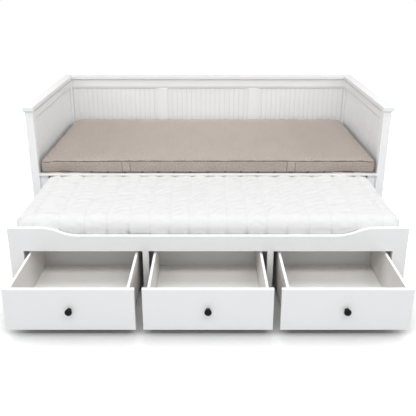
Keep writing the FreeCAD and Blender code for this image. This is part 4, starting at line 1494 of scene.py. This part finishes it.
    def _front_share(self, place: Vector) -> float:
        """1 on the front face and 0 behind its roll."""
        return 1.0 - zone(place.y, self.low.y, self.front_zone)

    def _gathered(self, place: Vector) -> float:
        """How far the cloth is gathered at a place of the front."""
        gather = math.sin(place.x * math.tau / self.gather_pitch + self.gather_wander.at(place.x))
        fine = math.sin(place.x * math.tau / self.fine_pitch + self.fine_wander.at(place.x))
        return (gather + self.fine_gather * fine) * (0.5 + self.gather_drift.at(place.x, place.z))

    def _quilted(self, place: Vector, normal: Vector) -> Vector:
        """Fine quilting across the channels, their seams, and the puckers of the front edge."""
        nearest, _ = self._channel(place.x)
        top = ease(normal.z, *self.top_slope)
        front = self._front_share(place)
        foot = (1.0 - zone(place.z, self.low.z, self.foot_zone)) * front
        quilting = -self._stroke(place) * self.stroke_depth * top * (1.0 - front)
        seam = -(self.seam_depth + self.seam_front_depth * front) * pulse(nearest, 0.0, self.seam_width)
        seam *= ease(normal.z, *self.seam_slope)
        lump = (self.lump.at(place.x, place.y) + self.small_lump.at(place.x, place.y)) * top
        sway = self.sway.at(place.x, place.y) * top
        pucker = abs(self._gathered(place)) * (self.front_pucker * front + self.foot_pucker * foot)
        return place + Vector((sway, self.front_tuck * foot, 0)) + normal * (quilting + seam + lump - pucker)

    def _kept_clear(self, place: Vector, _: Vector) -> Vector:
        """Keeps the cover off the slats, the front board and the ledgers that it passes."""
        low = (self.low.x - self.end_room, self.low.y + self.board_gap, self.low.z + self.slat_room)
        high = (self.high.x + self.end_room, self.high.y + self.rear_room, self.high.z + self.top_room)
        return kept_within(place, low, high)

    def _seam_line_shade(self, place: Vector, up: float) -> float:
        """How much painted shade a channel seam has at a place whose normal rises so far."""
        line = self.seam_line_shade * pulse(self._channel(place.x)[0], 0.0, self.line_width)
        return line * ease(up, *self.line_slope) * (1.0 - self.front_line_loss * self._front_share(place))

    def _painted_stroke_shade(self, place: Vector, up: float) -> float:
        """How much painted shade a stroke of the quilting has at a place whose normal rises so far."""
        return self._stroke(place) * ease(up, *self.top_slope) * (1.0 - self._front_share(place))

    def cover(self) -> Piece:
        """Makes the quilted cover: lattice, cloth, subdivision, quilting and its marks of painted shade."""
        lattice = self._lattice()
        piece = lattice.build()
        lattice.mark_cloth(piece)
        reshape(piece, self._puffed)
        self.inflation.run(piece, self._holds(lattice))
        refine(piece)
        flat = [(vertex.co.copy(), vertex.normal.z) for vertex in piece.data.vertices]
        reshape(piece, self._quilted)
        reshape(piece, self._kept_clear)
        # marks of painted shade in the channel seams and the quilting strokes
        set_marks(piece, SEAM_AND_SHADE_MARK, [self._seam_line_shade(place, up) for place, up in flat])
        set_marks(piece, QUILT_SHADE_MARK, [self._painted_stroke_shade(place, up) for place, up in flat])
        lay_cushion_map(piece)
        finish_piece(piece, self.body, TICKING)
        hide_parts(self.node)
        return piece


# Small fasteners


@dataclass
class ScrewRow:
    """Pan-head screws with a cross recess, all alike, in one piece."""

    name: str
    body: str
    slot: str
    places: list[tuple[Vector, Vector]]
    radius: float = 0.0036
    height: float = 0.0022
    sides: int = 16
    turn_step: float = 37.0
    ring_share: float = 0.22
    dome_share: float = 0.25
    waist_share: float = 0.68
    arm_width: float = 0.26
    sink_share: float = 0.6
    foot_share: float = 0.7
    flat_from: float = 0.9
    smooth_below: float = 35.0

    def _screw(self) -> Piece:
        """One head at the origin, facing +Z, with a domed edge and a cross sunk in its face."""
        deselect_all()
        bpy.ops.mesh.primitive_cylinder_add(
            vertices=self.sides, radius=self.radius, depth=self.height, location=(0, 0, self.height / 2))
        head = bpy.context.object
        settle(head)
        ring = self.radius * self.ring_share
        select_faces(head, lambda face: face.normal.z > self.flat_from)
        bpy.ops.mesh.inset(thickness=ring)
        bpy.ops.transform.translate(value=(0, 0, self.height * self.dome_share))
        bpy.ops.mesh.inset(thickness=ring)
        bpy.ops.object.mode_set(mode="OBJECT")
        for vertex in [vertex for vertex in head.data.vertices if vertex.select]:
            turn = math.atan2(vertex.co.y, vertex.co.x) / (math.pi / 2)
            off = abs(turn - round(turn))
            waist = 1.0 - self.waist_share * min(1.0, off / self.arm_width)
            vertex.co.x *= waist
            vertex.co.y *= waist
        select_faces(head, lambda face: face.normal.z > self.flat_from and len(face.vertices) == self.sides)
        sunk = {"value": (0, 0, -self.height * self.sink_share)}
        bpy.ops.mesh.extrude_region_move(TRANSFORM_OT_translate=sunk)
        bpy.ops.transform.resize(value=(self.foot_share, self.foot_share, 1.0))
        bpy.ops.object.mode_set(mode="OBJECT")
        return head

    def build(self, finish: Finish) -> Piece:
        """Copies the screw to each place, turned to face outwards, and joins the copies."""
        model = self._screw()
        copies = []
        for number, (place, facing) in enumerate(self.places):
            twin = copy_of(model, f"{self.name}_{number}")
            turn = facing.to_track_quat("Z", "Y").to_matrix().to_4x4()
            spin = Matrix.Rotation(math.radians(self.turn_step * number), 4, "Z")
            twin.data.transform(Matrix.Translation(place) @ turn @ spin)
            copies.append(twin)
        bpy.data.objects.remove(model)
        piece = join_all(copies, self.name)
        bpy.ops.object.shade_smooth_by_angle(angle=math.radians(self.smooth_below))
        return finish_piece(piece, self.body, finish)


# Sub-assemblies


@dataclass
class BedFrame:
    """The standing frame: panelled sides and back, caps, ledgers, rail and slats."""

    # depths of the painted shadow under the caps: on the posts and on the side top rails
    joint: float = 5.0 * MM
    shaded_rail: float = 20.0 * MM
    # shares of painted shade in the grooves of the back and of the side panels
    back_groove_shade_share: float = 0.18
    side_groove_shade_share: float = 0.3

    def dress(self) -> None:
        """Gives each piece a lacquer whose grain runs with the wood."""
        dress_all(LACQUERS[Grain.X], "back_top_rail", "back_bottom_rail", "back_ledger")
        dress_all(LACQUERS[Grain.Y], "side_ledgers", "left_bottom_rail", "right_bottom_rail")
        dress_all(LACQUERS[Grain.Z], "back_mullions")
        dress_all(SHADED_CAP_LACQUERS[Grain.X], "back_cap")
        dress_all(SHADED_CAP_LACQUERS[Grain.Y], "left_cap", "right_cap")
        for side in ("left", "right"):
            self._carrier(f"{side}_top_rail", Grain.Y, self.shaded_rail)
            self._carrier(f"{side}_front_post", Grain.Z, self.joint)
            self._carrier(f"{side}_rear_post", Grain.Z, self.joint)
            self._panel(f"{side}_side_panel", Grain.Y)
            self._panel(f"back_{side}_panel", Grain.X)
        self._panel("back_middle_panel", Grain.X, 0.5)
        dress("front_rail", POWDER)
        dress("upper_slats", PINE)
        dress("foot_glides", GLIDE)

    def _carrier(self, node: str, grain: Grain, joint: float) -> None:
        """Gives a piece under a cap its finish, with painted shadow over the joint's depth at its top."""
        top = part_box(node)[1].z
        dress(node, CappedLacquer(f"lacquer_{node}", WHITE, grain=grain, top=top, joint=joint))

    def _panel(self, node: str, across: Grain, phase: float = 0.0) -> None:
        """Gives a beadboard panel its finish, with painted shade in the grooves where the panel has them."""
        low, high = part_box(node)
        start, end = (low.x, high.x) if across is Grain.X else (low.y, high.y)
        share = self.back_groove_shade_share if across is Grain.X else self.side_groove_shade_share
        dress(node, Beadboard(
            f"beadboard_{node}", WHITE, across=across, middle=(start + end) / 2, reach=(end - start) / 2,
            phase=phase, groove_shade_share=share))


@dataclass
class LowerBed:
    """The pull-out bed: wave-topped front, carcase, slats, runners and casters."""

    body: str = "lower_bed"
    plate_thickness: float = 2.5 * MM
    screw_offset: float = 12.0 * MM
    screw_height: float = 72.0 * MM

    def dress(self) -> None:
        """Finishes of the lower bed's own pieces."""
        dress_all(LACQUERS[Grain.X], "wave_board", "rear_rail")
        dress_all(LACQUERS[Grain.Y], "left_side_board", "right_side_board")
        dress_all(LACQUERS[Grain.Y], "left_partition", "right_partition", "stop_guides")
        dress_all(LACQUERS[Grain.Z], "left_end_stile", "right_end_stile", "inner_stiles")
        dress_all(ZINC, "fixed_runners", "caster_brackets", "caster_pins")
        dress("lower_slats", PINE)
        dress("slat_bearers", PINE_ACROSS)
        for side, place in product(("left", "right"), ("front", "rear")):
            name = f"{side}_{place}_wheel"
            dress(name, CasterPlastic(f"caster_{side}_{place}", WHEEL_GREY, axle=tuple(centre_of(name))))

    def fasten(self) -> None:
        """Screws through the caster brackets into the side boards."""
        places = []
        for side, sign in (("left", -1), ("right", 1)):
            low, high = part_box(f"{side}_side_board")
            plate = (high.x if sign > 0 else low.x) + self.plate_thickness * sign
            for place, offset in product(("front", "rear"), (-self.screw_offset, self.screw_offset)):
                y = centre_of(f"{side}_{place}_wheel").y + offset
                places.append((Vector((plate, y, self.screw_height)), Vector((sign, 0, 0))))
        ScrewRow("caster_screws", self.body, "zinc_steel", places).build(ZINC)


@dataclass
class Drawer:
    """One drawer: lacquered front, foil sides, back and bottom, turned knob."""

    side: str
    edge_tape: float = 0.5 * MM

    def dress(self) -> None:
        """Finishes of the drawer's pieces."""
        dress(f"{self.side}_drawer_front", LACQUERS[Grain.X])
        for part, colour in SHADED_WALL_FOILS.items():
            node = f"{self.side}_drawer_{part}"
            dress(node, Foil(f"foil_{part}", colour, edge_height=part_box(node)[1].z - self.edge_tape))
        dress(f"{self.side}_drawer_bottom", BOTTOM_FOIL)
        centre = centre_of(f"{self.side}_knob")
        foot = (centre.x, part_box(f"{self.side}_knob")[1].y, centre.z)
        dress(f"{self.side}_knob", KnobLacquer(f"knob_{self.side}", KNOB_BLACK, centre=foot))

    def fasten(self) -> None:
        """The screw that holds the knob, seen inside the drawer."""
        centre = centre_of(f"{self.side}_knob")
        place = Vector((centre.x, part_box(f"{self.side}_drawer_front")[1].y, centre.z))
        body = f"{self.side}_drawer"
        ScrewRow(f"{self.side}_knob_screw", body, "zinc_steel", [(place, Vector((0, 1, 0)))]).build(ZINC)


# Studio


@dataclass
class Lamp:
    """A large soft lamp aimed at a point."""

    name: str
    place: Triple
    aim: Triple
    size: Pair
    watts: float
    colour: Triple = (1.0, 1.0, 1.0)

    def build(self) -> None:
        """Adds the lamp to the scene."""
        light = bpy.data.lights.new(self.name, "AREA")
        light.shape = "RECTANGLE"
        light.size, light.size_y = self.size
        light.energy = self.watts
        light.color = self.colour
        lamp = bpy.data.objects.new(self.name, light)
        bpy.context.scene.collection.objects.link(lamp)
        lamp.location = self.place
        lamp.rotation_euler = (Vector(self.aim) - Vector(self.place)).to_track_quat("-Z", "Y").to_euler()


@dataclass
class Studio:
    """Pale floor, soft light, white surroundings and the photograph's view.

    The floor's painted contact shadow goes by how open the sky is above a place, from 0 to 1. A pair is the
    value where an effect begins and the span over which it grows.
    """

    camera_place: Triple = (0.0, -2.9705, 1.602)
    camera_pitch: float = 18.9
    focal_pixels: float = 536.0
    centre_row: float = 150.0
    floor_side: float = 40.0
    floor_colour: Triple = (0.62, 0.62, 0.62)
    shadow_colour: Triple = (0.58, 0.58, 0.58)
    ambient: float = 0.37
    contact_reach: float = 0.30
    contact_samples: int = 12
    far_zone: Pair = (2.0, 1.5)
    near_zone: Pair = (0.32, 0.16)
    clear_zone: Pair = (0.52, 0.36)
    clear_curve: float = 1.4
    near_glow: float = 0.12
    clear_glow: float = 0.47
    far_glow: float = 0.5
    lamps: tuple[Lamp, ...] = (
        Lamp("key", (0.0, -2.6, 3.0), (0.0, -0.75, 0.1), (4.8, 0.5), 62.0),
        Lamp("steep_key", (0.0, -1.3, 4.6), (0.0, -0.7, 0.26), (5.4, 0.6), 22.0),
        Lamp("overhead", (0.0, 0.2, 5.5), (0.0, -0.2, 0.4), (5.0, 3.0), 60.0),
        Lamp("front_fill", (0.0, -7.0, 2.2), (0.0, 0.0, 0.4), (7.0, 3.0), 58.0, (0.965, 0.985, 1.0)),
        Lamp("left_fill", (-3.6, -0.4, 2.4), (0.6, 0.4, 0.6), (1.6, 1.6), 42.0),
        Lamp("right_fill", (3.6, -0.4, 2.4), (-0.6, 0.4, 0.6), (1.6, 1.6), 42.0),
    )

    def _seen(self, graph: Graph) -> Signal:
        """1 for what the camera sees, straight or in a reflection or through glass."""
        rays = graph.node("ShaderNodeLightPath")
        straight = rays.sibling("Is Camera Ray")
        total = straight + rays.sibling("Is Glossy Ray") + rays.sibling("Is Transmission Ray")
        return total.clamped()

    def floor(self) -> None:
        """A wide pale floor that keeps the shadow, with a painted contact shadow near the object, and fades
        to white.
        """
        deselect_all()
        bpy.ops.mesh.primitive_plane_add(size=self.floor_side, location=(0, 0, 0))
        floor = bpy.context.object
        floor.name = "floor"
        material = bpy.data.materials.new("studio_floor")
        material.use_nodes = True
        graph = Graph(material.node_tree)
        x, y, _ = graph.axes(graph.place())
        far = ((x * x + y * y) ** 0.5).grown(self.far_zone)
        reach = {"Distance": self.contact_reach}
        contact = graph.node("ShaderNodeAmbientOcclusion", {"samples": self.contact_samples}, reach, "AO")
        # painted contact shadow: where the sky is closed the floor's colour darkens and its glow dims
        clear = contact.grown(self.clear_zone) ** self.clear_curve
        tone = graph.blend(clear, self.shadow_colour, self.floor_colour)
        diffuse = graph.node("ShaderNodeBsdfDiffuse", None, {"Color": tone})
        light = contact.grown(self.near_zone) * self.near_glow + clear * self.clear_glow + far * self.far_glow
        glow = graph.node("ShaderNodeEmission", None, {"Strength": self._seen(graph) * light})
        graph.node_output(graph.node("ShaderNodeAddShader", None, {0: diffuse, 1: glow}))
        floor.data.materials.append(material)

    def world(self) -> None:
        """White for the camera and for reflections, and a soft grey that lights the object."""
        world = bpy.data.worlds.new("studio")
        bpy.context.scene.world = world
        world.use_nodes = True
        graph = Graph(world.node_tree)
        lighting, backdrop = [
            graph.node("ShaderNodeBackground", None, {"Color": (1, 1, 1, 1), "Strength": strength})
            for strength in (self.ambient, 1.0)
        ]
        mixed = graph.node("ShaderNodeMixShader", None, {0: self._seen(graph), 1: lighting, 2: backdrop})
        graph.node_output(mixed, "ShaderNodeOutputWorld")

    def camera(self) -> None:
        """The photograph's camera, from its fitted place, pitch and focal length."""
        data = bpy.data.cameras.new("camera")
        data.sensor_width = SENSOR
        data.lens = self.focal_pixels / IMAGE_SIDE * SENSOR
        data.shift_y = (self.centre_row - IMAGE_SIDE / 2) / IMAGE_SIDE
        camera = bpy.data.objects.new("camera", data)
        bpy.context.scene.collection.objects.link(camera)
        camera.location = self.camera_place
        camera.rotation_euler = (math.radians(90.0 - self.camera_pitch), 0, 0)
        bpy.context.scene.camera = camera

    def build(self) -> None:
        """Sets the whole studio up."""
        self.floor()
        self.world()
        self.camera()
        for lamp in self.lamps:
            lamp.build()
        bpy.context.scene.view_settings.view_transform = "Standard"


def main() -> None:
    """Dresses the frame, the lower bed and the drawers, makes the mattresses and sets the studio."""
    logging.basicConfig(level=logging.INFO, format="%(message)s")
    BedFrame().dress()
    lower_bed = LowerBed()
    lower_bed.dress()
    lower_bed.fasten()
    for side in ("left", "middle", "right"):
        drawer = Drawer(side)
        drawer.dress()
        drawer.fasten()
    upper = UpperMattress()
    cover = upper.cover()
    bands = upper.bands(cover)
    upper.stitches(bands)
    LowerMattress().cover()
    Studio().build()


if __name__ == "__main__":
    main()
